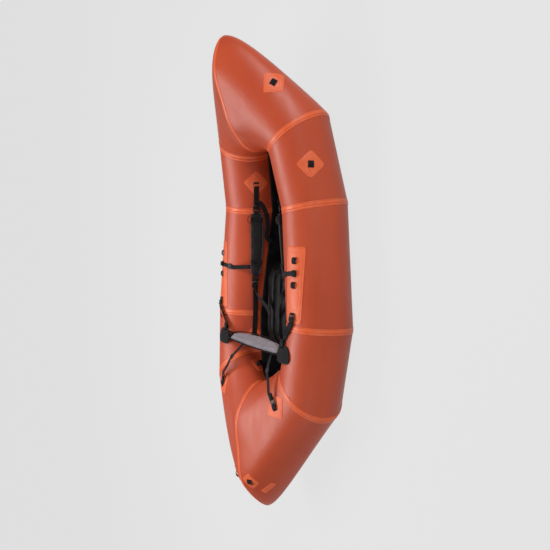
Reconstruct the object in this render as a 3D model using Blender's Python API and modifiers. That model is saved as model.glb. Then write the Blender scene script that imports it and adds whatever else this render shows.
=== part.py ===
# Packraft: an inflatable hull of welded fabric panels with a floor, seat, backband and thigh straps.
# +X points to the bow, +Y to port, +Z up; the origin is on the ground under the middle of the hull.
import math

import bpy
import bmesh
import numpy as np
from mathutils import Matrix, Vector

# Fabric and welds
FABRIC = 0.0008
WELD_GAP = 0.0003
SEAM_GAP = 0.0006
LAP = 0.015
KEEL_TAPE_HALF = 0.013
AROUND = 24

# Side tubes, described on the starboard side
TUBE_R = 0.151
FRONT_BEND_X = 0.357
FRONT_BEND_Y = 0.289
REAR_BEND_X = -0.194
REAR_BEND_Y = 0.352
BOW_SEAM_X = 0.682
BOW_SEAM_Y = 0.244
BOW_SEAM_RISE = 0.0646
BOW_SEAM_YAW = math.radians(-29.5)
BOW_SEAM_LEAN = math.radians(16.8)
STERN_SEAM_X = -0.489
STERN_SEAM_Y = 0.314
STERN_SEAM_RISE = 0.018
STERN_SEAM_YAW = math.radians(38.5)
STERN_SEAM_LEAN = math.radians(-3.0)

# Ends: the centre seam of each is a closed outline, eight places an eighth of a turn apart
BOW_CROTCH_X = 0.618
BOW_REACH = 0.519
BOW_TOP = 0.530
STERN_CROTCH_X = -0.502
STERN_REACH = 0.635
STERN_TOP = 0.386
BOW_PROFILE_SHARES = ((1.0, 0.893), (0.736, 1.0), (0.428, 0.924), (0.158, 0.804),
                      (0.0, 0.567), (0.158, 0.066), (0.466, 0.080), (0.774, 0.522))
STERN_PROFILE_SHARES = ((1.0, 0.552), (0.792, 0.913), (0.506, 0.992), (0.219, 0.998),
                        (0.0, 0.669), (0.219, 0.090), (0.506, 0.083), (0.792, 0.412))
BOW_PULL_NOSE = 0.435
BOW_PULL_TOP = 0.025
BOW_PULL_CROTCH = 0.150
BOW_PULL_BOTTOM = 0.144
BOW_PULL_SEAM = 0.107
STERN_PULL_NOSE = 0.275
STERN_PULL_TOP = 0.379
STERN_PULL_CROTCH = 0.150
STERN_PULL_BOTTOM = 0.164
STERN_PULL_SEAM = 0.010
NOSE_LEAN_SHARE = 0.8
END_SPANS = 6

# Floor
FLOOR_Z = 0.012
FLOOR_EDGE = math.radians(195.0)
FLOOR_CLEAR = 0.0003
FLOOR_SECTION_SHARES = ((1.0, 1.0), (1.0, 0.55), (0.985, 0.25), (0.94, 0.07), (0.85, 0.0), (0.43, 0.0))
FLOOR_CLOSE_SHARE = 0.7


# Patches: half length along the boat, half width across it, in from the weld
PATCH_T = 0.0010
PATCH_GAP = 0.0008
PATCH_SIDES = 20
PATCH_RINGS = 2
PATCH_CORNER = 5.0
DECK_SPOT = ("bow", 0.425, math.radians(17))
FRONT_SPOT = ("front", 0.53, math.radians(25))
THIGH_SPOT = ("front", 0.46, math.radians(160))
SIDE_SPOT = ("mid", 0.635, math.radians(78))
THIGH_REAR_SPOT = ("rear", 0.62, math.radians(165))
STERN_SPOT = ("stern", 0.30, math.radians(89))
TIP_SPOT = ("stern", 0.84, math.radians(45))
DIAMOND_HALF = 0.046
DECK_PATCH_HALF = 0.045
DECK_LOOP_TURN = math.radians(-30)
REAR_PATCH_HALF = 0.050
SIDE_PATCH_HALF_LENGTH = 0.172
SIDE_PATCH_HALF_WIDTH = 0.052
SIDE_PATCH_CORNER = 8.0
REAR_DIAMOND_HALF = 0.037
SIDE_LOOP_PLACES = (0.109, 0.052, 0.0)
LOCK_PLACE = -0.128

# Webbing, loops and wire
WEB_T = 0.0014
WEB_W = 0.025
NARROW_W = 0.020
LOOP_LENGTH = 0.030
LOOP_W = 0.020
LOOP_HEIGHT = 0.0055
FOOT_SINK = 0.0009
WIRE_R = 0.0016
RING_WIDE = 0.031
RING_DEEP = 0.020
RING_CORNER = 0.005
BAR_CLEAR = 0.0004
KEEPER_EASE = 0.0005
KEEPER_SPREAD = 1.12

# Ladder lock buckles
LOCK_T = 0.003
LOCK_TILT = math.radians(13)
LOCK_LONG = 0.034
LOCK_WIDE = 0.033
LOCK_CORNER = 0.005
SLOT_WIDE = 0.0262
SLOT_LONG = 0.0062
SLOT_CORNER = 0.0006
FIXED_SLOT_LONG = 0.0056
SLOT_TURN = 0.0075
BAR_HALF = 0.00175
WEAVE_OVER = 0.0030
WEAVE_UNDER = 0.0026
LIP_LONG = 0.009
LIP_RISE = math.radians(24)
LIP_T_SHARE = 0.8

# Thigh straps
PAD_LONG = 0.31
PAD_WIDE = 0.060
PAD_T = 0.011
PAD_SAG = 0.006
PAD_AHEAD = 0.150
PAD_STATIONS = 8
PAD_WIDTH_SHARES = (0.52, 0.92, 1.0, 1.0, 0.98, 0.93, 0.86, 0.80, 0.50)
PAD_LOCK_GAP = 0.006
TAB_IN = 0.022
TAB_R = 0.0034
STRAP_LIFT = 0.012
TURN_BACK = 0.030
REAR_LOOP_HALF = 0.009
REAR_LOOP_WIDE = 0.036
REAR_LOOP_H = 0.0046
REAR_TURN_R = 0.0025
HOLD_AHEAD = 0.006
TAIL_LONG = 0.22
TAIL_SHARES = ((-0.06, 0.0, 0.03), (-0.06, 0.05, 0.10), (0.06, 0.16, 0.15), (0.27, 0.25, 0.16),
               (0.50, 0.28, 0.15), (0.72, 0.34, 0.13))
SIDE_STRAP_FROM = 0.552
SIDE_STRAP_TO = 0.541
SIDE_STRAP_LIFT = 0.0014
SIDE_TURN_R = 0.0034
SIDE_STRAP_PHI = math.radians(118)
SIDE_STRAP_END = math.radians(91)
SIDE_STRAP_SPANS = 4
SIDE_STRAP_IN = 0.012

# Seat
SEAT_FRONT_X = 0.090
SEAT_LENGTH = 0.450
SEAT_SIDE_GAP = 0.009
SEAT_H = 0.135
SEAT_RIM_SHARE = 0.42
SEAT_CHANNELS = 5
SEAT_GROOVE = 0.007
SEAT_CELLS_LONG = 10
SEAT_CELLS_WIDE = 20

# Backband: stations by distance from the middle, with height, thickness and recline in degrees
BAND_TOP_X = -0.326
BAND_TOP_Z = 0.314
BAND_STATIONS = ((0.0, 0.078, 0.026, 40), (0.08, 0.076, 0.026, 40), (0.16, 0.067, 0.025, 41),
                 (0.21, 0.056, 0.021, 42), (0.245, 0.040, 0.012, 45))
BAND_SWEEP = 0.008
BAND_END_RISE = 0.004
BAND_EDGE = 0.003
BAND_BACK_EDGE_SHARE = 0.34
FACE_T = 0.0016
FACE_GAP = 0.0008
FACE_INSET = 0.005
WING_STATIONS = ((0.262, 0.070), (0.285, 0.080), (0.315, 0.082), (0.340, 0.074), (0.356, 0.046))
WING_AFT_X = -0.354
WING_T = 0.005
WING_CLEAR = 0.0015
WING_RECLINE = 86.5
WING_BAR = 0.005
WING_SLOT_LONG = 0.008
WING_SLOT_WIDE = 0.0264
WING_SLOT_Y = 0.290
WING_TURN_R = 0.0046
BAND_TAIL_LONG = 0.075
BAND_TAIL_SHARES = ((0.35, 0.05, 0.06), (0.70, 0.12, 0.10), (1.0, 0.18, 0.06))
REAR_STRAP_Y = 0.145
REAR_STRAP_ON = (0.026, 0.052)
REAR_STRAP_VIA = ((-0.405, 0.185, 0.330), (-0.455, 0.214, 0.341))

# Snap hooks, drawn from the centre of the anchor loop toward the strap
HOOK_T = 0.0035
HOOK_WIDE = 0.031
HOOK_CORNER = 0.008
HOOK_SPAN = (-0.0055, 0.0385)
EYE_SPAN = (-0.0015, 0.0165)
EYE_WIDE = 0.0215
EYE_CORNER = 0.002
HOOK_TILT = math.radians(9)
HOOK_SLOT_SPAN = (0.0275, 0.0335)
HOOK_SLOT_WIDE = 0.0212
HOOK_LIFT = 0.0009
HOOK_TURN_R = 0.0042
GATE_X = 0.004
GATE_CUT = 0.0010
STERN_LOOP_H = 0.0070

# Inflation valve, on the outboard side of the port tube
VALVE_SPOT = ("rear", 0.45, math.radians(10))
VALVE_FLANGE_R = 0.030
VALVE_R = 0.0195
VALVE_H = 0.0200
VALVE_SEAT_Z = 0.00035
VALVE_WALL = 0.0022
VALVE_FLOOR_Z = 0.0085
VALVE_FLOOR_T = 0.0020
VALVE_VENTS = 6
VENT_R = 0.0026
STEM_R = 0.0040
STEM_CLEAR = 0.0005
SEAL_R = 0.0125
SEAL_T = 0.0020
KNOB_R = 0.0070
KNOB_T = 0.0025
KNOB_DROP = 0.0015
CAP_T = 0.0020
CAP_SKIRT = 0.0065
CAP_CLEAR = 0.0004
GRIP_COUNT = 10
GRIP_R = 0.0020

# Seat valve
SEAT_VALVE_X = -0.315
SEAT_VALVE_Y = -0.096
SEAT_VALVE_R = 0.0125
SEAT_VALVE_H = 0.004
SEAT_NECK_R = 0.0075
SEAT_NECK_H = 0.012
SEAT_CAP_R = 0.0105
SEAT_CAP_H = 0.009


def unit(v):
    v = np.asarray(v, float)
    return v / np.linalg.norm(v)


UP = np.array([0.0, 0.0, 1.0])
MIRROR = np.array([1.0, -1.0, 1.0])


def turned(yaw, lean):
    return np.array([math.cos(yaw) * math.cos(lean), -math.sin(yaw) * math.cos(lean), math.sin(lean)])


def hull_seams():
    height = TUBE_R + WELD_GAP + FABRIC
    bow = np.array([BOW_SEAM_X, -BOW_SEAM_Y, height + BOW_SEAM_RISE])
    front = np.array([FRONT_BEND_X, -FRONT_BEND_Y, height])
    rear = np.array([REAR_BEND_X, -REAR_BEND_Y, height])
    stern = np.array([STERN_SEAM_X, -STERN_SEAM_Y, height + STERN_SEAM_RISE])
    ax_front = unit(bow - front)
    ax_mid = unit(front - rear)
    ax_rear = unit(rear - stern)
    return {
        "bow": (bow, ax_front, turned(BOW_SEAM_YAW, BOW_SEAM_LEAN)),
        "front": (front, ax_mid, unit(ax_front + ax_mid)),
        "rear": (rear, ax_mid, unit(ax_mid + ax_rear)),
        "stern": (stern, ax_rear, turned(STERN_SEAM_YAW, STERN_SEAM_LEAN)),
    }


SEAMS = hull_seams()
TUBES = {"front": ("bow", "front"), "mid": ("front", "rear"), "rear": ("rear", "stern")}


def seam_point(seam, phi, radius=TUBE_R, shift=0.0):
    # phi runs from outboard over the top to inboard; shift moves the seam plane along the tube
    centre, axis, normal = SEAMS[seam]
    rise = unit(UP - axis * axis[2])
    out = np.cross(rise, axis)
    if out[1] > 0:
        out = -out
    d = radius * (math.cos(phi) * out + math.sin(phi) * rise)
    along = shift - (d @ normal) / (axis @ normal)
    return centre + d + along * axis


def profile_point(end, phi):
    if end == "bow":
        root, reach, top, shares = BOW_CROTCH_X, BOW_REACH, BOW_TOP, BOW_PROFILE_SHARES
    else:
        root, reach, top, shares = STERN_CROTCH_X, -STERN_REACH, STERN_TOP, STERN_PROFILE_SHARES
    pts = [np.array([root + a * reach, -SEAM_GAP / 2, b * top]) for a, b in shares]
    turn = (phi / (2 * math.pi)) % 1.0 * len(pts)
    i = int(turn)
    t = turn - i
    p0, p1, p2, p3 = (pts[(i + k) % len(pts)] for k in (-1, 0, 1, 2))
    return 0.5 * (2 * p1 + (p2 - p0) * t + (2 * p0 - 5 * p1 + 4 * p2 - p3) * t ** 2
                  + (3 * p1 - p0 - 3 * p2 + p3) * t ** 3)


def end_point(end, u, phi):
    # a smooth loft from the seam ring to the centre outline
    if end == "bow":
        pulls = BOW_PULL_NOSE, BOW_PULL_TOP, BOW_PULL_CROTCH, BOW_PULL_BOTTOM
        root, away = BOW_PULL_SEAM, 1.0
    else:
        pulls = STERN_PULL_NOSE, STERN_PULL_TOP, STERN_PULL_CROTCH, STERN_PULL_BOTTOM
        root, away = STERN_PULL_SEAM, -1.0
    nose, top, crotch, bottom = pulls
    c, s = math.cos(phi), math.sin(phi)
    pull = (nose * max(c, 0) ** 2 + crotch * max(-c, 0) ** 2
            + top * max(s, 0) ** 2 + bottom * max(-s, 0) ** 2)
    centre, axis, _ = SEAMS[end]
    tip = profile_point(end, 0.0) * np.array([1.0, 0.0, 1.0])
    start = unit(unit(tip - centre) + NOSE_LEAN_SHARE * unit(axis * away))
    a = seam_point(end, phi)
    b = profile_point(end, phi)
    return ((2 * u ** 3 - 3 * u ** 2 + 1) * a + (u ** 3 - 2 * u ** 2 + u) * root * start
            + (3 * u ** 2 - 2 * u ** 3) * b + (u ** 3 - u ** 2) * pull * np.array([0.0, 1.0, 0.0]))


def skin(zone, u, phi):
    if zone in TUBES:
        a, b = TUBES[zone]
        return (1 - u) * seam_point(a, phi) + u * seam_point(b, phi)
    return end_point(zone, u, phi)


def skin_normal(zone, u, phi):
    step = 0.0005
    u0, u1 = max(u - step, 0.0), min(u + step, 1.0)
    du = skin(zone, u1, phi) - skin(zone, u0, phi)
    dp = skin(zone, u, phi + step) - skin(zone, u, phi - step)
    n = unit(np.cross(du, dp))
    middle = sum(skin(zone, u, k * math.pi / 2) for k in range(4)) / 4
    return n if n @ (skin(zone, u, phi) - middle) > 0 else -n


def off_skin(zone, u, phi, gap):
    return skin(zone, u, phi) + gap * skin_normal(zone, u, phi)


ANGLES = [2 * math.pi * k / AROUND for k in range(AROUND)]


def share_at(end, phi, distance, from_seam):
    # the share of the loft at which the surface is a set distance from its seam or its centre line
    start = skin(end, 0.0 if from_seam else 1.0, phi)
    low, high = 0.0, 0.6
    for _ in range(24):
        mid = (low + high) / 2
        here = skin(end, mid if from_seam else 1.0 - mid, phi)
        if np.linalg.norm(here - start) < distance:
            low = mid
        else:
            high = mid
    return low if from_seam else 1.0 - low


# Scene, materials and mesh helpers
for old in list(bpy.data.objects):
    bpy.data.objects.remove(old, do_unlink=True)

PARTS = bpy.data.collections.new("packraft")
TOOLS = bpy.data.collections.new("cutters")
bpy.context.scene.collection.children.link(PARTS)
bpy.context.scene.collection.children.link(TOOLS)

FINISHES = {
    "hull_fabric": ("B9573F", 0.45, 0.0),
    "weld_tape": ("DF653D", 0.5, 0.0),
    "floor_fabric": ("141214", 0.5, 0.0),
    "seat_fabric": ("232122", 0.45, 0.0),
    "webbing": ("181418", 0.8, 0.0),
    "pad_fabric": ("2B2829", 0.75, 0.0),
    "band_face": ("8D858C", 0.8, 0.0),
    "moulded_plastic": ("1C1C1E", 0.4, 0.0),
    "steel_wire": ("B8B8BC", 0.3, 1.0),
}


def linear(code):
    parts = [int(code[i:i + 2], 16) / 255 for i in (0, 2, 4)]
    return [p / 12.92 if p <= 0.04045 else ((p + 0.055) / 1.055) ** 2.4 for p in parts]


def material(name):
    if name in bpy.data.materials:
        return bpy.data.materials[name]
    code, roughness, metallic = FINISHES[name]
    made = bpy.data.materials.new(name)
    made.use_nodes = True
    shader = made.node_tree.nodes["Principled BSDF"]
    shader.inputs["Base Color"].default_value = (*linear(code), 1.0)
    shader.inputs["Roughness"].default_value = roughness
    shader.inputs["Metallic"].default_value = metallic
    made.diffuse_color = (*linear(code), 1.0)
    return made


def mesh_object(name, verts, faces, finish, group=PARTS):
    mesh = bpy.data.meshes.new(name)
    mesh.from_pydata([tuple(float(c) for c in v) for v in verts], [], faces)
    mesh.update()
    made = bpy.data.objects.new(name, mesh)
    group.objects.link(made)
    mesh.materials.append(material(finish))
    return made


def merged(made, distance=0.00001):
    work = bmesh.new()
    work.from_mesh(made.data)
    bmesh.ops.remove_doubles(work, verts=work.verts, dist=distance)
    bmesh.ops.recalc_face_normals(work, faces=work.faces)
    work.to_mesh(made.data)
    work.free()
    return made


def face_along(made, direction_at):
    # turn the faces of an open surface so that they look along the given direction
    work = bmesh.new()
    work.from_mesh(made.data)
    bmesh.ops.recalc_face_normals(work, faces=work.faces)
    total = sum(f.normal.dot(Vector(direction_at(np.array(f.calc_center_median())))) * f.calc_area()
                for f in work.faces)
    if total < 0:
        bmesh.ops.reverse_faces(work, faces=work.faces)
    work.to_mesh(made.data)
    work.free()
    return made


def thicken(made, thickness, side, even=True):
    mod = made.modifiers.new("wall", "SOLIDIFY")
    mod.thickness = thickness
    mod.offset = side
    mod.use_even_offset = even
    return made


def baked(made):
    bpy.context.view_layer.update()
    graph = bpy.context.evaluated_depsgraph_get()
    mesh = bpy.data.meshes.new_from_object(made.evaluated_get(graph))
    mesh.transform(made.matrix_world)
    name, group = made.name, made.users_collection[0]
    bpy.data.objects.remove(made, do_unlink=True)
    fresh = bpy.data.objects.new(name, mesh)
    mesh.name = name
    group.objects.link(fresh)
    return fresh


def joined(made, other, operation="UNION"):
    mod = made.modifiers.new(operation.lower(), "BOOLEAN")
    mod.operation = operation
    mod.object = other
    mod.solver = "EXACT"
    mod.material_mode = "TRANSFER"
    fresh = baked(made)
    bpy.data.objects.remove(other, do_unlink=True)
    return fresh


def to_port(made, name):
    # the port twin of a finished starboard piece
    source = baked(made) if made.modifiers else made
    mesh = source.data.copy()
    mesh.transform(Matrix.Diagonal((1, -1, 1, 1)))
    mesh.flip_normals()
    mesh.name = name
    twin = bpy.data.objects.new(name, mesh)
    PARTS.objects.link(twin)
    return twin


def pair(made):
    to_port(made, made.name[:-1] + "p")


def shaded(angle=math.radians(35)):
    for made in PARTS.objects:
        made.data.shade_smooth()
        made.data.set_sharp_from_angle(angle=angle)


def ring_faces(rows, count, closed_rows=False, back_rows=()):
    # the quads twist, so lapping surfaces share the same diagonals
    faces = []
    for i in range(rows if closed_rows else rows - 1):
        for j in range(count):
            a, b = i * count + j, i * count + (j + 1) % count
            c, d = ((i + 1) % rows) * count + (j + 1) % count, ((i + 1) % rows) * count + j
            faces += [(a, b, d), (b, c, d)] if i in back_rows else [(a, b, c), (a, c, d)]
    return faces


def tube_surface(name, rings, finish, thickness=FABRIC):
    # an open tube of rings with its wall inward
    verts = [p for ring in rings for p in ring]
    middles = np.array([np.mean(ring, axis=0) for ring in rings])
    made = mesh_object(name, verts, ring_faces(len(rings), len(rings[0])), finish)

    def outward(p):
        return p - middles[np.argmin(np.linalg.norm(middles - p, axis=1))]

    return thicken(face_along(made, outward), thickness, -1)


def closed_band(name, rings, finish, back_rows=()):
    # a ring of cloth: outer rings one way and inner rings back
    verts = [p for ring in rings for p in ring]
    faces = ring_faces(len(rings), len(rings[0]), True, back_rows)
    return merged(mesh_object(name, verts, faces, finish))


# Hull panels
def tube_length(zone):
    a, b = TUBES[zone]
    return np.linalg.norm(SEAMS[a][0] - SEAMS[b][0])


def end_rings(end):
    near = [share_at(end, phi, LAP, True) for phi in ANGLES]
    far = [share_at(end, phi, KEEL_TAPE_HALF, False) for phi in ANGLES]
    rings = [[skin(end, 0.0, phi) for phi in ANGLES]]
    for k in range(END_SPANS + 1):
        t = k / END_SPANS
        rings.append([skin(end, (1 - t) * a + t * b, phi) for a, b, phi in zip(near, far, ANGLES)])
    rings.append([skin(end, 1.0, phi) for phi in ANGLES])
    return rings


def hull_panels():
    for end in ("bow", "stern"):
        pair(tube_surface(end + "_panel_s", end_rings(end), "hull_fabric"))
    spans = {"front": (("bow", -SEAM_GAP), ("front", SEAM_GAP)),
             "rear": (("rear", -SEAM_GAP), ("stern", SEAM_GAP))}
    for zone, ends in spans.items():
        rings = [[seam_point(seam, phi, shift=shift) for phi in ANGLES] for seam, shift in ends]
        pair(tube_surface("tube_" + zone + "_s", rings, "hull_fabric"))
    pair(middle_tube())


def middle_tube():
    # its hems lap over the tubes before and behind it
    outer = WELD_GAP + FABRIC
    fore = 1 - LAP / tube_length("front")
    aft = LAP / tube_length("rear")
    rings = []
    for gap in (outer, WELD_GAP):
        front = [off_skin("front", fore, phi, gap) for phi in ANGLES]
        bend = [seam_point("front", phi, TUBE_R + gap) for phi in ANGLES]
        back = [seam_point("rear", phi, TUBE_R + gap) for phi in ANGLES]
        rear = [off_skin("rear", aft, phi, gap) for phi in ANGLES]
        if gap == outer:
            rings += [front, bend]
            rings += [[seam_point("front", phi, TUBE_R + outer, -LAP) for phi in ANGLES]]
            rings += [[seam_point("front", phi, TUBE_R, -LAP) for phi in ANGLES]]
            rings += [[seam_point("rear", phi, TUBE_R, LAP) for phi in ANGLES]]
            rings += [[seam_point("rear", phi, TUBE_R + outer, LAP) for phi in ANGLES]]
            rings += [back, rear]
        else:
            rings += [rear, back]
            rings += [[seam_point("rear", phi, TUBE_R - FABRIC) for phi in ANGLES]]
            rings += [[seam_point("front", phi, TUBE_R - FABRIC) for phi in ANGLES]]
            rings += [bend, front]
    return closed_band("tube_mid_s", rings, "hull_fabric")


def strip_normal(zone, u0, u1, phi):
    # the normal of the flat strip between two rings
    across = skin(zone, u1, phi) - skin(zone, u0, phi)
    step = math.pi / AROUND
    along = sum(skin(zone, u, phi + step) - skin(zone, u, phi - step) for u in (u0, u1))
    n = unit(np.cross(across, along))
    return n if n @ skin_normal(zone, (u0 + u1) / 2, phi) > 0 else -n


def crease(first, second, gap):
    # the offset that clears both faces of a crease by the gap
    middle = unit(first + second)
    return middle * gap / max(middle @ first, 0.3)


def seam_tape(end, zone, u_zone):
    outer, rings = WELD_GAP + FABRIC, []
    for gap in (outer, WELD_GAP):
        tube = [off_skin(zone, u_zone, phi, gap) for phi in ANGLES]
        bend, cone = [], []
        for phi in ANGLES:
            share = share_at(end, phi, LAP, True)
            flat = skin_normal(zone, u_zone, phi)
            lean = strip_normal(end, 0.0, share, phi)
            bend.append(skin(end, 0.0, phi) + crease(flat, lean, gap))
            after = strip_normal(end, share, share + (1 - share) / END_SPANS, phi)
            cone.append(skin(end, share, phi) + crease(lean, after, gap))
        rings += [tube, bend, cone] if gap == outer else [cone, bend, tube]
    return closed_band(end + "_tape_s", rings, "weld_tape", back_rows=(3, 4))


def keel_tape(end):
    outer, rings = WELD_GAP + FABRIC, []
    for gap in (outer, WELD_GAP):
        side, middle = [], []
        for phi in ANGLES:
            share = share_at(end, phi, KEEL_TAPE_HALF, False)
            lean = strip_normal(end, share, 1.0, phi)
            before = strip_normal(end, share - share / END_SPANS, share, phi)
            side.append(skin(end, share, phi) + crease(lean, before, gap))
            middle.append(profile_point(end, phi) * np.array([1, 0, 1]) + crease(lean, lean * MIRROR, gap))
        other = [p * MIRROR for p in side]
        rings += [side, middle, other] if gap == outer else [other, middle, side]
    return closed_band(end + "_center_tape", rings, "weld_tape", back_rows=(1, 4))


def seam_tapes():
    pair(seam_tape("bow", "front", LAP / tube_length("front")))
    pair(seam_tape("stern", "rear", 1 - LAP / tube_length("rear")))
    keel_tape("bow")
    keel_tape("stern")


# Floor
def floor_sheet():
    gap = 2 * WELD_GAP + FABRIC + FLOOR_CLEAR + FABRIC / 2
    far = [1.0, 0.92, 0.8, 0.62, 0.42, 0.2, 0.0]
    stations = [("bow", u) for u in far] + [("front", 1.0), ("mid", 0.5), ("rear", 0.0)]
    stations += [("stern", u) for u in reversed(far)]
    rows = []
    for zone, u in stations:
        x, y, z = off_skin(zone, u, FLOOR_EDGE, gap)
        closing = 0.0
        if zone in ("bow", "stern"):
            closing = max(0.0, (u - 1 + FLOOR_CLOSE_SHARE) / FLOOR_CLOSE_SHARE) ** 2
            y = 0.0 if u == 1.0 else y
        low = FLOOR_Z + (z - FLOOR_Z) * closing
        half = [(x, a * y, low + b * (z - low)) for a, b in FLOOR_SECTION_SHARES]
        rows.append(half + [(p[0], -p[1], p[2]) for p in reversed(half)])
    count = len(rows[0])
    faces = [(i * count + j, i * count + j + 1, (i + 1) * count + j + 1, (i + 1) * count + j)
             for i in range(len(rows) - 1) for j in range(count - 1)]
    made = mesh_object("floor_sheet", [p for row in rows for p in row], faces, "floor_fabric")
    merged(made)
    return thicken(face_along(made, lambda p: UP), FABRIC, 0, even=False)


# Patches and loops on the hull
class Place:
    # a spot on the hull with its own axes: along the boat, across, and out of the skin
    def __init__(self, spot, turn=0.0):
        self.zone, self.u, self.phi = spot
        self.origin = skin(*spot)
        self.out = skin_normal(*spot)
        ahead = unit(np.array([1.0, 0.0, 0.0]) - self.out * self.out[0])
        across = np.cross(self.out, ahead)
        self.ahead = math.cos(turn) * ahead + math.sin(turn) * across
        self.across = np.cross(self.out, self.ahead)

    def at(self, x, y, z):
        return self.origin + x * self.ahead + y * self.across + z * self.out

    def on_skin(self, x, y, gap):
        u, phi, step = self.u, self.phi, 0.001
        for _ in range(5):
            here = skin(self.zone, u, phi)
            miss = np.array([(here - self.origin) @ self.ahead - x, (here - self.origin) @ self.across - y])
            du = (skin(self.zone, u + step, phi) - here) / step
            dp = (skin(self.zone, u, phi + step) - here) / step
            slope = np.array([[du @ self.ahead, dp @ self.ahead], [du @ self.across, dp @ self.across]])
            move = np.linalg.solve(slope, miss)
            u, phi = u - move[0], phi - move[1]
        return off_skin(self.zone, u, phi, gap)

    def matrix(self, lift=0.0):
        base = self.at(0.0, 0.0, lift)
        rows = np.array([self.ahead, self.across, self.out, base]).T
        return Matrix([list(map(float, row)) for row in rows] + [[0, 0, 0, 1]])


PATCH_TOP = PATCH_GAP + PATCH_T


def patch(name, place, half_long, half_wide, finish="weld_tape", corner=PATCH_CORNER, rings=PATCH_RINGS):
    verts, faces = [place.on_skin(0.0, 0.0, PATCH_GAP)], []
    for k in range(1, rings + 1):
        for j in range(PATCH_SIDES):
            t = 2 * math.pi * (j + 0.5) / PATCH_SIDES
            c, s = math.cos(t), math.sin(t)
            reach = (abs(c) ** corner + abs(s) ** corner) ** (-1 / corner) * k / rings
            verts.append(place.on_skin(half_long * c * reach, half_wide * s * reach, PATCH_GAP))
    for j in range(PATCH_SIDES):
        n = (j + 1) % PATCH_SIDES
        faces.append((0, 1 + j, 1 + n))
        for k in range(rings - 1):
            a, b = 1 + k * PATCH_SIDES, 1 + (k + 1) * PATCH_SIDES
            faces.append((a + j, b + j, b + n, a + n))
    made = mesh_object(name, verts, faces, finish)
    return baked(thicken(face_along(made, lambda p: place.out), PATCH_T, 1, even=False))


def smooth_path(points, per_span):
    pts = [np.asarray(p, float) for p in points]
    pts = [2 * pts[0] - pts[1]] + pts + [2 * pts[-1] - pts[-2]]
    out = []
    for i in range(1, len(pts) - 2):
        for k in range(per_span):
            t = k / per_span
            p0, p1, p2, p3 = pts[i - 1:i + 3]
            out.append(0.5 * (2 * p1 + (p2 - p0) * t + (2 * p0 - 5 * p1 + 4 * p2 - p3) * t ** 2
                              + (3 * p1 - p0 - 3 * p2 + p3) * t ** 3))
    return out + [pts[-2]]


def ribbon(name, path, sides, width, thickness=WEB_T, finish="webbing", group=PARTS):
    # a flat strap: a strip through the path, as wide as the side vectors say
    sides = [sides] * len(path) if np.ndim(sides) == 1 else sides
    verts = []
    for p, side in zip(path, sides):
        verts += [p - unit(side) * width / 2, p + unit(side) * width / 2]
    faces = [(2 * i, 2 * i + 1, 2 * i + 3, 2 * i + 2) for i in range(len(path) - 1)]
    made = mesh_object(name, verts, faces, finish, group)
    return baked(thicken(made, thickness, 0))


def arch(place, x, y, length, width, height, base):
    # a webbing loop sewn down at both feet
    path = []
    for k in range(9):
        t = math.pi * (1 - k / 8)
        foot = place.on_skin(x + length / 2 * math.cos(t), y, base)
        path.append(foot + place.out * height * abs(math.sin(t)) ** 0.7)
    foot = length / 3
    first = place.on_skin(x - length / 2 - foot, y, base)
    last = place.on_skin(x + length / 2 + foot, y, base)
    return ribbon("loop", [first] + path + [last], place.across, width)


def loop_base():
    return PATCH_TOP + WEB_T / 2 - FOOT_SINK


def hull_anchor(name, spot, half, turn=math.pi / 4, loop_turn=0.0, loop_high=LOOP_HEIGHT, rings=PATCH_RINGS):
    made = patch(name, Place(spot, turn), half, half, rings=rings)
    loop = arch(Place(spot, loop_turn), 0.0, 0.0, LOOP_LENGTH, LOOP_W, loop_high, loop_base())
    return joined(made, loop)


def anchors():
    pair(hull_anchor("deck_anchor_s", DECK_SPOT, DECK_PATCH_HALF, 0.0, DECK_LOOP_TURN, rings=PATCH_RINGS + 1))
    pair(hull_anchor("front_anchor_s", FRONT_SPOT, DIAMOND_HALF))
    pair(hull_anchor("tip_anchor_s", TIP_SPOT, DIAMOND_HALF * 0.8))
    pair(hull_anchor("stern_anchor_s", STERN_SPOT, REAR_PATCH_HALF, 0.0, hook_turn(), STERN_LOOP_H))


# Thigh strap rings and anchors
def bar_lift(radius):
    return PATCH_TOP + BAR_CLEAR + radius


def keeper(place, x, radius, width=WEB_W):
    # a webbing loop sewn down round a bar that lies across the place
    reach = radius + WELD_GAP + WEB_T / 2 + KEEPER_EASE
    high = BAR_CLEAR + radius + reach - WEB_T / 2 + FOOT_SINK
    return arch(place, x, 0.0, 2 * reach * KEEPER_SPREAD, width, high, loop_base())


def turn_round(centre, ahead, out, radius, first, last, count):
    # points of a strap that turns round a bar, by angle from ahead toward out
    angles = [math.radians(first + (last - first) * k / (count - 1)) for k in range(count)]
    return [centre + radius * (math.cos(t) * ahead + math.sin(t) * out) for t in angles]


def matrix_of(ahead, across, out, origin):
    rows = np.array([ahead, across, out, origin]).T
    return Matrix([list(map(float, row)) for row in rows] + [[0, 0, 0, 1]])


def axes_of(matrix):
    return [np.array(matrix.col[k][:3]) for k in range(4)]


def origin_at(made, point):
    # puts the object's origin on its joint axis
    base = Vector([float(c) for c in point])
    made.data.transform(Matrix.Translation(-base))
    made.matrix_world = Matrix.Translation(base)
    return made


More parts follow.
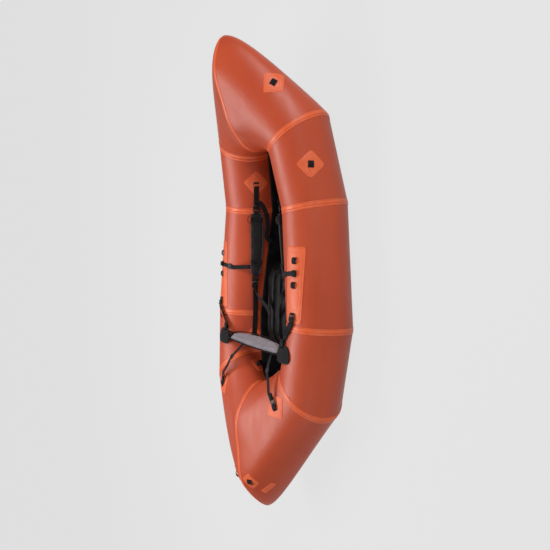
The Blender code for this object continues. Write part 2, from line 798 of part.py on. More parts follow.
def wire_ring(name, matrix):
    # a rounded rectangle of wire; its first bar lies on the local y axis
    curve = bpy.data.curves.new(name, "CURVE")
    curve.dimensions = "3D"
    curve.bevel_depth = WIRE_R
    curve.bevel_resolution = 1
    line = curve.splines.new("POLY")
    half = (RING_WIDE / 2 + WIRE_R) - RING_CORNER
    centres = ((-RING_CORNER, half), (-RING_DEEP + RING_CORNER, half),
               (-RING_DEEP + RING_CORNER, -half), (-RING_CORNER, -half))
    points = []
    for k, (cx, cy) in enumerate(centres):
        for j in range(4):
            t = math.pi / 2 * (k + j / 3)
            points.append((cx + RING_CORNER * math.cos(t), cy + RING_CORNER * math.sin(t), 0.0, 1.0))
    line.points.add(len(points) - 1)
    for point, co in zip(line.points, points):
        point.co = co
    line.use_cyclic_u = True
    curve.materials.append(material("steel_wire"))
    made = bpy.data.objects.new(name, curve)
    PARTS.objects.link(made)
    made.matrix_world = matrix
    return merged(baked(made))


# Ladder lock buckle, drawn flat with its end bar at x = 0 and the strap leaving toward +x
def rounded(long0, long1, wide, corner, steps=3):
    points = []
    for k, (cx, cy) in enumerate(((long1 - corner, wide / 2 - corner), (long0 + corner, wide / 2 - corner),
                                  (long0 + corner, corner - wide / 2), (long1 - corner, corner - wide / 2))):
        for j in range(steps + 1):
            t = math.pi / 2 * (k + j / steps)
            points.append((cx + corner * math.cos(t), cy + corner * math.sin(t)))
    return points


def plate(name, outlines, thickness, finish, group=PARTS):
    curve = bpy.data.curves.new(name, "CURVE")
    curve.dimensions = "2D"
    curve.fill_mode = "BOTH"
    curve.extrude = thickness / 2
    for outline in outlines:
        line = curve.splines.new("POLY")
        line.points.add(len(outline) - 1)
        for point, (x, y) in zip(line.points, outline):
            point.co = (x, y, 0.0, 1.0)
        line.use_cyclic_u = True
    curve.materials.append(material(finish))
    made = bpy.data.objects.new(name, curve)
    group.objects.link(made)
    return merged(baked(made))


END_BAR = 2 * BAR_HALF
BAR_R = math.hypot(BAR_HALF, LOCK_T / 2)
FIXED_SLOT = (END_BAR, END_BAR + FIXED_SLOT_LONG)
FIRST_SLOT = (FIXED_SLOT[1] + END_BAR, FIXED_SLOT[1] + END_BAR + SLOT_LONG)
SECOND_SLOT = (FIRST_SLOT[1] + END_BAR, FIRST_SLOT[1] + END_BAR + SLOT_LONG)
CENTER_BAR_X = FIRST_SLOT[1] + BAR_HALF
STRAP_FAR = LOCK_LONG + SLOT_LONG


def ladder_lock(name, matrix):
    outline = rounded(0.0, LOCK_LONG, LOCK_WIDE, LOCK_CORNER)
    slots = [rounded(a, b, SLOT_WIDE, SLOT_CORNER, 1) for a, b in (FIXED_SLOT, FIRST_SLOT, SECOND_SLOT)]
    made = plate(name, [outline] + slots, LOCK_T, "moulded_plastic")
    # the thumb lip rises from the far bar
    lip_wide = LOCK_WIDE - 2 * LOCK_CORNER
    lip = plate("lip", [rounded(0.0, LIP_LONG, lip_wide, SLOT_LONG / 2)], LOCK_T * LIP_T_SHARE, "moulded_plastic")
    root = LOCK_LONG - LOCK_CORNER
    lip.matrix_world = Matrix.Translation((root, 0.0, 0.0)) @ Matrix.Rotation(-LIP_RISE, 4, "Y")
    made = joined(made, baked(lip))
    made.data.transform(matrix)
    return made


def weave(matrix, far):
    # strap centre line through a ladder lock: in below, round the centre bar and out under the lip
    c = CENTER_BAR_X
    back = WEAVE_UNDER + WEB_T + 2 * WELD_GAP
    steps = [(far, -back), (c + SLOT_TURN, -back), (c - SLOT_TURN * 0.4, -back),
             (c - SLOT_TURN * 0.78, -WEAVE_OVER), (c - SLOT_TURN * 0.78, WEB_T / 2),
             (c - SLOT_TURN * 0.3, WEAVE_OVER), (c + SLOT_TURN * 0.3, WEAVE_OVER),
             (c + SLOT_TURN, -WEAVE_UNDER), (far, -WEAVE_UNDER)]
    return [np.array(matrix @ Vector((x, 0.0, z))) for x, z in steps]


def sides_of(path, reference):
    # side vectors square to the path, as near the reference as they can be
    sides = []
    for i in range(len(path)):
        ahead = unit(path[min(i + 1, len(path) - 1)] - path[max(i - 1, 0)])
        sides.append(unit(reference - ahead * (reference @ ahead)))
    return sides


# Side patch: three loops, then the keeper of the backband's ladder lock
def side_place():
    return Place(SIDE_SPOT)


def lock_matrix():
    # the buckle lies aft of its keeper and tilts up from the skin
    place = side_place()
    aft = -math.cos(LOCK_TILT) * place.ahead + math.sin(LOCK_TILT) * place.out
    across = -place.across
    base = place.at(LOCK_PLACE, 0.0, bar_lift(BAR_R)) - aft * BAR_HALF
    return matrix_of(aft, across, np.cross(aft, across), base)


def paired_at(made, point):
    # a starboard piece and its port twin, both with their origins on their own axes
    twin = to_port(made, made.name[:-1] + "p")
    origin_at(twin, point * MIRROR)
    origin_at(made, point)


def side_patches():
    place = side_place()
    made = patch("side_patch_s", place, SIDE_PATCH_HALF_LENGTH, SIDE_PATCH_HALF_WIDTH,
                 corner=SIDE_PATCH_CORNER, rings=PATCH_RINGS + 1)
    for x in SIDE_LOOP_PLACES:
        made = joined(made, arch(place, x, 0.0, LOOP_LENGTH, LOOP_W, LOOP_HEIGHT, loop_base()))
    pair(joined(made, keeper(place, LOCK_PLACE, BAR_R)))
    paired_at(ladder_lock("band_buckle_s", lock_matrix()), place.at(LOCK_PLACE, 0.0, bar_lift(BAR_R)))


# Thigh straps: ring, webbing, ladder lock and pad on the line between two anchors
def upward(v):
    return v if v[2] > 0 else -v


def thigh_frame():
    # the strap's line, then its axes: along it to the stern, up the pad, and out toward the paddler
    front, rear = Place(THIGH_SPOT), Place(THIGH_REAR_SPOT)
    start = front.at(0.0, 0.0, bar_lift(WIRE_R))
    end = rear.at(REAR_LOOP_HALF + HOLD_AHEAD, 0.0, PATCH_TOP + 2 * WELD_GAP + WEB_T / 2)
    along = unit(end - start)
    rise = unit(upward(front.across - along * (front.across @ along)))
    return start, along, rise, np.cross(along, rise)


def pad_point(t):
    start, along, rise, out = thigh_frame()
    sag = PAD_SAG * (1 - (2 * t - 1) ** 2)
    return start + along * (PAD_AHEAD + PAD_LONG * t) + out * STRAP_LIFT - rise * sag


def thigh_lock(front=True):
    # the end bar lies beside the pad and the lip points away from it
    start, along, rise, out = thigh_frame()
    reach = PAD_AHEAD - PAD_LOCK_GAP if front else PAD_AHEAD + PAD_LONG + PAD_LOCK_GAP
    away = -along if front else along
    return matrix_of(away, np.cross(out, away), out, start + along * reach + out * STRAP_LIFT)


def pad_axis():
    # the pad swings about its upper edge
    start, along, rise, out = thigh_frame()
    return start + out * STRAP_LIFT + rise * PAD_WIDE / 2, along


def thigh_anchors():
    start, along, rise, out = thigh_frame()
    made = patch("thigh_anchor_s", Place(THIGH_SPOT, math.pi / 4), DIAMOND_HALF, DIAMOND_HALF)
    pair(joined(made, keeper(Place(THIGH_SPOT), 0.0, WIRE_R)))
    paired_at(wire_ring("thigh_ring_s", matrix_of(-along, rise, np.cross(-along, rise), start)), start)
    made = patch("thigh_rear_anchor_s", Place(THIGH_REAR_SPOT, math.pi / 4), REAR_DIAMOND_HALF, REAR_DIAMOND_HALF)
    across = Place(THIGH_REAR_SPOT, math.pi / 2)
    pair(joined(made, arch(across, 0.0, 0.0, REAR_LOOP_WIDE, 2 * REAR_LOOP_HALF, REAR_LOOP_H, loop_base())))


def tab(name, matrix):
    # pad webbing folded round the end bar of a ladder lock
    ahead, across, out, base = axes_of(matrix)
    bar = base + ahead * BAR_HALF
    turn = turn_round(bar, ahead, out, TAB_R, 90, -90, 9)
    inside = [bar - ahead * TAB_IN + out * side * WEB_T for side in (0.7, -0.7)]
    return ribbon(name, [inside[0]] + turn + [inside[1]], across, WEB_W)


def thigh_pads():
    start, along, rise, out = thigh_frame()
    verts = []
    for k, share in enumerate(PAD_WIDTH_SHARES):
        p = pad_point(k / PAD_STATIONS)
        half = PAD_WIDE / 2 * share
        verts += [p - rise * half, p, p + rise * half]
    faces = [(a, a + 1, a + 4, a + 3) for i in range(PAD_STATIONS) for a in (3 * i, 3 * i + 1)]
    made = mesh_object("thigh_pad_s", verts, faces, "pad_fabric")
    thicken(face_along(made, lambda p: out), PAD_T, 0, even=False)
    soft = made.modifiers.new("soft", "SUBSURF")
    soft.levels = 1
    soft.render_levels = 1
    made = joined(baked(made), tab("tab", thigh_lock()))
    rear = thigh_lock(False)
    made = joined(made, ladder_lock("lock", rear))
    tab_root = axes_of(rear)
    web = ribbon("tab", [tab_root[3] + tab_root[0] * x for x in (-TAB_IN, BAR_HALF)], tab_root[1], WEB_W)
    made = joined(made, web)
    point, _ = pad_axis()
    paired_at(made, point)


def thigh_webs():
    start, along, rise, out = thigh_frame()
    # front web: round the ring's far bar, then through the ladder lock to a hanging tail
    bar = start + along * RING_DEEP
    wrap = WIRE_R + 2 * WELD_GAP + WEB_T / 2
    path = [bar + along * TURN_BACK - out * wrap] + turn_round(bar, -along, out, wrap, -90, 90, 7)
    lock = thigh_lock()
    path += weave(lock, STRAP_FAR)
    last = path[-1]
    tail = [last + TAIL_LONG * (along * a - UP * drop + out * inward) for a, drop, inward in TAIL_SHARES]
    tail = smooth_path([last] + tail, 2)[1:]
    pair(ribbon("thigh_front_web_s", path + tail, [rise] * len(path) + sides_of(tail, rise), WEB_W))
    point, _ = pad_axis()
    paired_at(ladder_lock("thigh_buckle_s", lock), point)
    # rear web: from the pad's rear ladder lock under the anchor loop and back over it
    rear = Place(THIGH_REAR_SPOT)
    low = PATCH_TOP + WELD_GAP + WEB_T / 2 + WELD_GAP
    hold = rear.at(REAR_LOOP_HALF + HOLD_AHEAD, 0.0, low)
    middle = rear.at(-REAR_LOOP_HALF, 0.0, low + REAR_TURN_R)
    path = [hold] + turn_round(middle, -rear.ahead, rear.out, REAR_TURN_R, -90, 90, 7)
    path += [path[-1] + rear.ahead * (2 * REAR_LOOP_HALF + HOLD_AHEAD)]
    woven = weave(thigh_lock(False), STRAP_FAR)
    sides = [upward(rear.across)] * len(path) + [rise] * len(woven)
    pair(ribbon("thigh_rear_web_s", list(reversed(path)) + woven, sides, NARROW_W))


def side_straps():
    # from the pad's upper edge over the tube, under a loop of the side patch and back over it
    place = side_place()
    start, along, rise, out = thigh_frame()
    t = (PAD_STATIONS - 1) / PAD_STATIONS
    root = pad_point(t) + rise * (PAD_WIDE * PAD_WIDTH_SHARES[-2] / 2 + SIDE_STRAP_LIFT)
    loop_x = SIDE_LOOP_PLACES[1]
    low = PATCH_TOP + WELD_GAP + WEB_T / 2 + WELD_GAP
    path = [root]
    for k in range(SIDE_STRAP_SPANS):
        t = k / (SIDE_STRAP_SPANS - 1)
        phi = (1 - t) * SIDE_STRAP_PHI + t * SIDE_STRAP_END
        u = (1 - t) * SIDE_STRAP_FROM + t * SIDE_STRAP_TO
        path.append(off_skin("mid", u, phi, PATCH_TOP + WEB_T / 2 + SIDE_STRAP_LIFT))
    path.append(place.at(loop_x, LOOP_W / 2 + SIDE_STRAP_IN / 6, low))
    centre = place.at(loop_x, -LOOP_W / 2, low + SIDE_TURN_R)
    path += turn_round(centre, -place.across, place.out, SIDE_TURN_R, -90, 90, 7)
    path.append(path[-1] + place.across * (LOOP_W + SIDE_STRAP_IN))
    pair(ribbon("thigh_side_strap_s", path, place.ahead, NARROW_W))


# Backband: one pad that thins into a wing on each side
def tube_top(zone, x, y):
    a, b = TUBES[zone]
    centre, axis = SEAMS[a][0], unit(SEAMS[a][0] - SEAMS[b][0])
    w = np.array([x, -abs(y), 0.0]) - centre
    w = w - axis * (w @ axis)
    up = UP - axis * axis[2]
    half = (w @ up) / (up @ up)
    return -half + math.sqrt(half ** 2 - (w @ w - TUBE_R ** 2) / (up @ up))


def wing_top():
    crown = max(tube_top("rear", WING_AFT_X, y) for y, _ in WING_STATIONS)
    return crown + WELD_GAP + WING_CLEAR + WING_T


def band_axes(recline):
    t = math.radians(recline)
    return np.array([-math.sin(t), 0.0, math.cos(t)]), np.array([-math.cos(t), 0.0, -math.sin(t)])


def band_stations():
    # distance from the middle, upper edge, height, thickness, recline
    out = []
    for y, high, thick, recline in BAND_STATIONS:
        share = y / BAND_STATIONS[-1][0]
        top = np.array([BAND_TOP_X + BAND_SWEEP * share ** 2, y, BAND_TOP_Z + BAND_END_RISE * share ** 4])
        out.append((top, high, thick, recline))
    aft = WING_AFT_X
    for y, high in WING_STATIONS:
        shift = (max(h for _, h in WING_STATIONS) - high) / 2
        out.append((np.array([aft + shift, y, wing_top()]), high, WING_T, WING_RECLINE))
    return out


def band_section(top, high, thick, recline):
    rise, back = band_axes(recline)
    edge = min(BAND_EDGE, thick / 4)
    rear = thick * BAND_BACK_EDGE_SHARE
    corners = ((edge, 0.0), (high - edge, 0.0), (high, edge), (high, thick - rear), (high - rear, thick),
               (rear, thick), (0.0, thick - rear), (0.0, edge))
    return [top + rise * (a - high) + back * b for a, b in corners]


def wing_bar():
    # centre of the bar before the starboard wing's webbing slot
    high = max(h for _, h in WING_STATIONS)
    rise, back = band_axes(WING_RECLINE)
    top = np.array([WING_AFT_X, -WING_SLOT_Y, wing_top()])
    return top - rise * (high - WING_BAR / 2) + back * WING_T / 2


def backband():
    half = band_stations()
    stations = [(top * MIRROR, h, t, r) for top, h, t, r in reversed(half)] + half[1:]
    rings = [band_section(*station) for station in stations]
    verts = [p for ring in rings for p in ring]
    count = len(rings[0])
    faces = ring_faces(len(rings), count)
    last = (len(rings) - 1) * count
    faces += [tuple(range(count)), tuple(last + k for k in range(count))]
    made = merged(mesh_object("backband_pad", verts, faces, "seat_fabric"))
    rise, back = band_axes(WING_RECLINE)
    for side in (1, -1):
        bar = wing_bar() * (MIRROR if side > 0 else 1)
        middle = bar + rise * (WING_BAR + WING_SLOT_LONG) / 2
        outline = rounded(-WING_SLOT_LONG / 2, WING_SLOT_LONG / 2, WING_SLOT_WIDE, SLOT_CORNER, 1)
        cutter = plate("slot_cutter", [outline], 4 * WING_T, "seat_fabric", TOOLS)
        cutter.matrix_world = matrix_of(rise, np.cross(back, rise), back, middle)
        made = joined(made, baked(cutter), "DIFFERENCE")
    axis = wing_bar() * np.array([1.0, 0.0, 1.0])
    origin_at(made, axis)
    # the face lies on the front of the pad
    face_rows = []
    for y, high, thick, recline in BAND_STATIONS:
        share = y / BAND_STATIONS[-1][0]
        top = np.array([BAND_TOP_X + BAND_SWEEP * share ** 2, y, BAND_TOP_Z + BAND_END_RISE * share ** 4])
        rise, back = band_axes(recline)
        lift = FACE_GAP + FACE_T / 2
        face_rows.append([top - rise * a - back * lift for a in (FACE_INSET, high - FACE_INSET)])
    rows = [[p * MIRROR for p in row] for row in reversed(face_rows)] + face_rows[1:]
    verts = [p for row in rows for p in row]
    faces = []
    for i in range(0, 2 * len(rows) - 2, 2):
        faces += [(i + 1, i, i + 2), (i + 1, i + 2, i + 3)]
    made = mesh_object("backband_face", verts, faces, "band_face")
    face = baked(thicken(face_along(made, lambda p: np.array([1.0, 0.0, 1.0])), FACE_T, 0, even=False))
    origin_at(face, axis)


def front_straps():
    # from the wing's slot to the buckle on the side patch, with a short tail under its lip
    bar = wing_bar()
    ahead = np.array([1.0, 0.0, 0.0])
    woven = weave(lock_matrix(), STRAP_FAR)
    turn = turn_round(bar, -ahead, UP, WING_TURN_R, 90, -90, 9)
    first = turn[0] + ahead * TURN_BACK
    lead = turn[-1] + ahead * TURN_BACK / 2
    course = unit(lead - woven[-1])
    tail = [woven[-1] + BAND_TAIL_LONG * (course * a + UP * b - np.array([0.0, 1.0, 0.0]) * c)
            for a, b, c in BAND_TAIL_SHARES]
    across = np.array([0.0, 1.0, 0.0])
    middle = smooth_path([turn[-1], lead, woven[0], woven[1]], 4)[4:-5]
    path = [first] + turn + middle + woven + tail
    sides = [across] * (len(turn) + 1) + sides_of(middle, across) + [side_place().across] * len(woven)
    pair(ribbon("band_front_strap_s", path, sides + sides_of(tail, across), WEB_W))


def hook_turn():
    # the hook and its loop point along the rear strap
    place = Place(STERN_SPOT)
    aim = np.array(REAR_STRAP_VIA[-1]) * MIRROR - place.origin
    return math.atan2(aim @ place.across, aim @ place.ahead)


def hook_matrix():
    # the hook tilts up about its end bar
    place = Place(STERN_SPOT, hook_turn())
    bar = (HOOK_SPAN[0] + EYE_SPAN[0]) / 2
    ahead = math.cos(HOOK_TILT) * place.ahead + math.sin(HOOK_TILT) * place.out
    base = place.at(bar, 0.0, PATCH_TOP + HOOK_LIFT + HOOK_T / 2) - ahead * bar
    return matrix_of(ahead, place.across, np.cross(ahead, place.across), base)


def snap_hook(name):
    outline = rounded(*HOOK_SPAN, HOOK_WIDE, HOOK_CORNER)
    eye = rounded(*EYE_SPAN, EYE_WIDE, EYE_CORNER)
    slot = rounded(*HOOK_SLOT_SPAN, HOOK_SLOT_WIDE, SLOT_CORNER, 1)
    made = plate(name, [outline, eye, slot], HOOK_T, "moulded_plastic")
    gate = plate("gate_cutter", [rounded(0.0, GATE_CUT, HOOK_WIDE, GATE_CUT / 4, 1)], 2 * HOOK_T, "moulded_plastic",
                 TOOLS)
    gate.matrix_world = Matrix.Translation((GATE_X, HOOK_WIDE / 2, 0.0))
    made = joined(made, baked(gate), "DIFFERENCE")
    made.data.transform(hook_matrix())
    return made


def rear_straps():
    ahead, across, out, base = axes_of(hook_matrix())
    pivot = base + ahead * (HOOK_SPAN[0] + EYE_SPAN[0]) / 2
    paired_at(snap_hook("band_hook_s"), pivot)
    bar = base + ahead * (HOOK_SLOT_SPAN[1] + HOOK_SPAN[1]) / 2
    turn = turn_round(bar, -ahead, out, HOOK_TURN_R, -90, 90, 9)
    first = turn[0] + ahead * TURN_BACK
    lead = turn[-1] + ahead * TURN_BACK
    # the upper end is sewn flat on the back of the pad
    y, high, thick, recline = BAND_STATIONS[2]
    share = REAR_STRAP_Y / BAND_STATIONS[-1][0]
    top = np.array([BAND_TOP_X + BAND_SWEEP * share ** 2, -REAR_STRAP_Y, BAND_TOP_Z])
    rise, back = band_axes(recline)
    on = [top + rise * (a - high) + back * (BAND_STATIONS[0][2] + WELD_GAP + WEB_T / 2) for a in REAR_STRAP_ON]
    via = [np.array(p) * MIRROR for p in reversed(REAR_STRAP_VIA)]
    middle = smooth_path([turn[-1], lead] + via + [on[1]], 3)[3:] + [on[0]]
    path = [first] + turn + middle
    side = np.array([0.0, 1.0, 0.0])
    side = side if across[1] > 0 else -side
    sides = [across] * (len(turn) + 1)
    for i, p in enumerate(middle):
        t = i / (len(middle) - 1)
        sides.append(sides_of(middle, unit((1 - t) * across + t * side))[i])
    pair(ribbon("band_rear_strap_s", path, sides, NARROW_W))


# Seat: an inflated cushion with lengthwise channels
def seat_top(s, w):
    swell = (1 - abs(w) ** 4) * (1 - abs(2 * s - 1) ** 6)
    nearest = min(abs((w + 1) * SEAT_CHANNELS / 2 - k) for k in range(1, SEAT_CHANNELS))
    groove = SEAT_GROOVE * max(0.0, 1 - nearest * 4) * min(1.0, 2 * swell)
    return swell ** 0.5 * SEAT_H * (1 - SEAT_RIM_SHARE) - groove, swell ** 0.35 * SEAT_H * SEAT_RIM_SHARE


def seat_half():
    centre_y = linear_between(SEAT_FRONT_X, "front", "rear")
    return centre_y - TUBE_R - SEAT_SIDE_GAP


def linear_between(x, first, second):
    a, b = SEAMS[first][0], SEAMS[second][0]
    t = (x - a[0]) / (b[0] - a[0])
    return -(a[1] + t * (b[1] - a[1]))


def seat_rim_z():
    return FLOOR_Z + FABRIC / 2 + WELD_GAP + SEAT_H * SEAT_RIM_SHARE


def seat():
    verts, top_index, low_index = [], {}, {}
    rows, cells = SEAT_CELLS_LONG, SEAT_CELLS_WIDE
    for i in range(rows + 1):
        for j in range(cells + 1):
            s = (1 - math.cos(math.pi * i / rows)) / 2
            w = -1 + 2 * j / cells
            up, down = seat_top(s, w)
            x = SEAT_FRONT_X - SEAT_LENGTH * s
            y = seat_half() * w
            top_index[i, j] = len(verts)
            low_index[i, j] = len(verts)
            verts.append((x, y, seat_rim_z() + up))
            if 0 < i < rows and 0 < j < cells:
                low_index[i, j] = len(verts)
                verts.append((x, y, seat_rim_z() - down))
    faces = []
    for i in range(rows):
        for j in range(cells):
            for index in (top_index, low_index):
                faces.append((index[i, j], index[i + 1, j], index[i + 1, j + 1], index[i, j + 1]))
    merged(mesh_object("seat_cushion", verts, faces, "seat_fabric"))


def lathe(name, profile, matrix, finish, steps=24):
    # turned from a profile of radius and height, outer side first from top to bottom
    verts = [(r, 0.0, z) for r, z in profile]
    mesh = bpy.data.meshes.new(name)
    closed = len(profile)
    open_line = profile[0][0] == 0.0
    mesh.from_pydata(verts, [(k, (k + 1) % closed) for k in range(closed - 1 if open_line else closed)], [])
    made = bpy.data.objects.new(name, mesh)
    PARTS.objects.link(made)
    mesh.materials.append(material(finish))
    turn = made.modifiers.new("turn", "SCREW")
    turn.axis = "Z"
    turn.steps = steps
    turn.render_steps = steps
    turn.use_merge_vertices = True
    turn.merge_threshold = 0.00001
    made.matrix_world = matrix
    made = merged(baked(made))
    return made


def seat_valve():
    cushion, high = bpy.data.objects["seat_cushion"], 0.0
    for k in range(SEAT_CELLS_WIDE):
        t = 2 * math.pi * k / SEAT_CELLS_WIDE
        spot = Vector((SEAT_VALVE_X + SEAT_VALVE_R * math.cos(t), SEAT_VALVE_Y + SEAT_VALVE_R * math.sin(t), 1.0))
        high = max(high, cushion.ray_cast(spot, Vector((0.0, 0.0, -1.0)))[1].z)
    base = Matrix.Translation((SEAT_VALVE_X, SEAT_VALVE_Y, high + WELD_GAP))
    bore = SEAT_NECK_R - VALVE_WALL
    lathe("seat_valve", [(SEAT_NECK_R, SEAT_NECK_H), (SEAT_NECK_R, SEAT_VALVE_H / 2), (SEAT_VALVE_R, SEAT_VALVE_H / 4),
                         (SEAT_VALVE_R, 0.0), (bore, 0.0), (bore, SEAT_NECK_H)], base, "moulded_plastic", 24)
    inner = SEAT_NECK_R + CAP_CLEAR
    top = SEAT_NECK_H + CAP_CLEAR + CAP_T
    low = top - SEAT_CAP_H
    lathe("seat_valve_cap", [(0.0, top), (SEAT_CAP_R - CAP_T / 2, top), (SEAT_CAP_R, top - CAP_T / 2),
                             (SEAT_CAP_R, low), (inner, low), (inner, top - CAP_T), (0.0, top - CAP_T)],
          base, "moulded_plastic", 24)
    origin_at(bpy.data.objects["seat_valve_cap"], base.translation)


# Inflation valve: body, plunger and cap on the port tube
def valve_place():
    place = Place(VALVE_SPOT)
    for name in ("origin", "out", "ahead", "across"):
        setattr(place, name, getattr(place, name) * MIRROR)
    place.across = np.cross(place.out, place.ahead)
    return place


def inflation_valve():
    made = patch("valve_body_twin", Place(VALVE_SPOT), VALVE_FLANGE_R, VALVE_FLANGE_R, "moulded_plastic", 2.0)
    made = to_port(made, "valve_body")
    bpy.data.objects.remove(bpy.data.objects["valve_body_twin"], do_unlink=True)
    place = valve_place()
    matrix = place.matrix()
    inner = VALVE_R - VALVE_WALL
    hole = STEM_R + STEM_CLEAR
    cup = lathe("cup", [(VALVE_R, VALVE_H), (VALVE_R, VALVE_SEAT_Z), (inner, VALVE_SEAT_Z), (inner, VALVE_FLOOR_Z),
                        (hole, VALVE_FLOOR_Z), (hole, VALVE_FLOOR_Z + VALVE_FLOOR_T),
                        (inner, VALVE_FLOOR_Z + VALVE_FLOOR_T), (inner, VALVE_H)], matrix, "moulded_plastic")
    for k in range(VALVE_VENTS):
        t = 2 * math.pi * k / VALVE_VENTS
        reach = (hole + SEAL_R) / 2
        vent = [(VENT_R * math.cos(a), VENT_R * math.sin(a)) for a in (math.pi * j / 4 for j in range(8))]
        cutter = plate("vent_cutter", [vent], 4 * VALVE_FLOOR_T, "moulded_plastic", TOOLS)
        cutter.matrix_world = matrix @ Matrix.Translation((reach * math.cos(t), reach * math.sin(t),
                                                           VALVE_FLOOR_Z + VALVE_FLOOR_T / 2))
        cup = joined(cup, baked(cutter), "DIFFERENCE")
    joined(made, cup)
    seal_top = VALVE_FLOOR_Z - WELD_GAP
    knob_top = VALVE_H - KNOB_DROP
    plunger = lathe("valve_plunger", [(0.0, knob_top), (KNOB_R, knob_top), (KNOB_R, knob_top - KNOB_T),
                                      (STEM_R, knob_top - KNOB_T), (STEM_R, seal_top), (SEAL_R, seal_top),
                                      (SEAL_R, seal_top - SEAL_T), (0.0, seal_top - SEAL_T)],
                    matrix, "moulded_plastic", 24)
    origin_at(plunger, place.origin)
    cap_in = VALVE_R + CAP_CLEAR
    cap_out = cap_in + CAP_T
    top = VALVE_H + CAP_CLEAR + CAP_T
    low = top - CAP_T - CAP_SKIRT
    cap = lathe("valve_cap", [(0.0, top), (cap_out - CAP_T / 2, top), (cap_out, top - CAP_T / 2), (cap_out, low),
                              (cap_in, low), (cap_in, top - CAP_T), (0.0, top - CAP_T)], matrix, "moulded_plastic")
    grip = [(GRIP_R * math.cos(a), GRIP_R * math.sin(a)) for a in (math.pi * j / 3 for j in range(6))]
    for k in range(GRIP_COUNT):
        t = 2 * math.pi * k / GRIP_COUNT
        rib = plate("grip", [grip], CAP_SKIRT, "moulded_plastic", TOOLS)
        rib.matrix_world = matrix @ Matrix.Translation((cap_out * math.cos(t), cap_out * math.sin(t),
                                                        low + CAP_SKIRT / 2 + WELD_GAP))
        cap = joined(cap, baked(rib))
    origin_at(cap, place.origin)


def main():
    hull_panels()
    seam_tapes()
    floor_sheet()
    anchors()
    side_patches()
    thigh_anchors()
    thigh_pads()
    thigh_webs()
    side_straps()
    backband()
    front_straps()
    rear_straps()
    seat()
    seat_valve()
    inflation_valve()
    shaded()


if __name__ == "__main__":
    main()
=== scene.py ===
import math

import bmesh
import bpy
import numpy as np
from mathutils import Matrix, Vector
from mathutils.bvhtree import BVHTree


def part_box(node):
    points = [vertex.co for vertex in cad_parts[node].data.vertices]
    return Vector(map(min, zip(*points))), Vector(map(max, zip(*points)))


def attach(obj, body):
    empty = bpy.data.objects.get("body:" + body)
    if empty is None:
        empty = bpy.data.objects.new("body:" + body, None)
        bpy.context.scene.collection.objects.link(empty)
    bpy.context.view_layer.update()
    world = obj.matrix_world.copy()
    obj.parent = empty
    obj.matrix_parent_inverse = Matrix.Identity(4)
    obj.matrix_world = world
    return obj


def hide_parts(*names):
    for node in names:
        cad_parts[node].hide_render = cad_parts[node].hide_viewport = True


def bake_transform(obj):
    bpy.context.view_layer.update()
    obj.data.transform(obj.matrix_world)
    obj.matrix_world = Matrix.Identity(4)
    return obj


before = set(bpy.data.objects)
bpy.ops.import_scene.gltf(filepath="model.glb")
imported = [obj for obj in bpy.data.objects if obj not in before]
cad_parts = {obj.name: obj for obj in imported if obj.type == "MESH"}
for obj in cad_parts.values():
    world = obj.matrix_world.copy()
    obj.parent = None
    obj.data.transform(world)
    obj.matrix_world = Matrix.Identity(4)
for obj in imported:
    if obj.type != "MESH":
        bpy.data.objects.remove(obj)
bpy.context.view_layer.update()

scene = bpy.context.scene
mirror = np.array([1.0, -1.0, 1.0])
upward = np.array([0.0, 0.0, 1.0])

# Camera and light

cameraValues = {
    "place": (0.30144, -3.10953, 1.97260),
    "right": (0.015867, -0.496175, -0.868077),
    "up": (0.996849, 0.075335, -0.024840),
    "back": (0.077722, -0.864948, 0.495807),
    "lens": 47.77,                       # mm on a 36 mm square sensor
}

lightValues = {
    "lamps": {
        "key": {"place": (-0.60, 1.35, 2.6), "aim": (0.0, 0.0, 0.15), "size": (3.2, 1.0), "watts": 66.0, "shine": True},
        "bow": {"place": (3.0, -2.2, 2.1), "aim": (0.9, 0.0, 0.3), "size": (2.0, 2.0), "watts": 84.0, "shine": True},
        "stern": {"place": (-3.0, -2.2, 1.7), "aim": (-0.8, 0.0, 0.2), "size": (1.8, 1.8), "watts": 24.0,
                  "shine": True},
        "fill": {"place": (0.1, -3.9, 1.1), "aim": (0.0, 0.0, 0.25), "size": (2.8, 1.2), "watts": 15.0, "shine": False},
    },
    "ambient": 0.10,
    "paper": "#e6e6e6",                  # the grey card behind the raft
    "floorHalf": 30.0,
    "glow": 0.93,
    "greys": (0.05, 0.32),               # the floor's diffuse share as seen, and as it lights the raft
}


def makeCamera(v):
    data = bpy.data.cameras.new("studioCamera")
    data.sensor_width = 36.0
    data.lens = v["lens"]
    data.clip_end = 100.0
    camera = bpy.data.objects.new("studioCamera", data)
    scene.collection.objects.link(camera)
    camera.matrix_world = Matrix([list(row) + [p] for row, p in
                                  zip(zip(v["right"], v["up"], v["back"]), v["place"])] + [[0, 0, 0, 1]])
    scene.camera = camera


makeCamera(cameraValues)
print("camera set")


# Small helpers

def linear(code):
    out = []
    for i in (1, 3, 5):
        c = int(code[i:i + 2], 16) / 255
        out.append(c / 12.92 if c <= 0.04045 else ((c + 0.055) / 1.055) ** 2.4)
    return (*out, 1.0)


def unit(v):
    v = np.asarray(v, float)
    return v / np.linalg.norm(v, axis=-1, keepdims=True)


def node(tree, kind, inputs=None, **settings):
    made = tree.nodes.new(kind)
    for key, value in settings.items():
        setattr(made, key, value)
    for key, value in (inputs or {}).items():
        if isinstance(value, bpy.types.NodeSocket):
            tree.links.new(value, made.inputs[key])
        else:
            made.inputs[key].default_value = value
    return made


def mixed(tree, share, first, second):
    # a colour between two, by a share
    made = node(tree, "ShaderNodeMix", {0: share}, data_type="RGBA")
    for index, value in ((6, first), (7, second)):
        if isinstance(value, bpy.types.NodeSocket):
            tree.links.new(value, made.inputs[index])
        else:
            made.inputs[index].default_value = value
    return made.outputs[2]


def sums(tree, operation, *values):
    return node(tree, "ShaderNodeMath", dict(enumerate(values)), operation=operation).outputs[0]


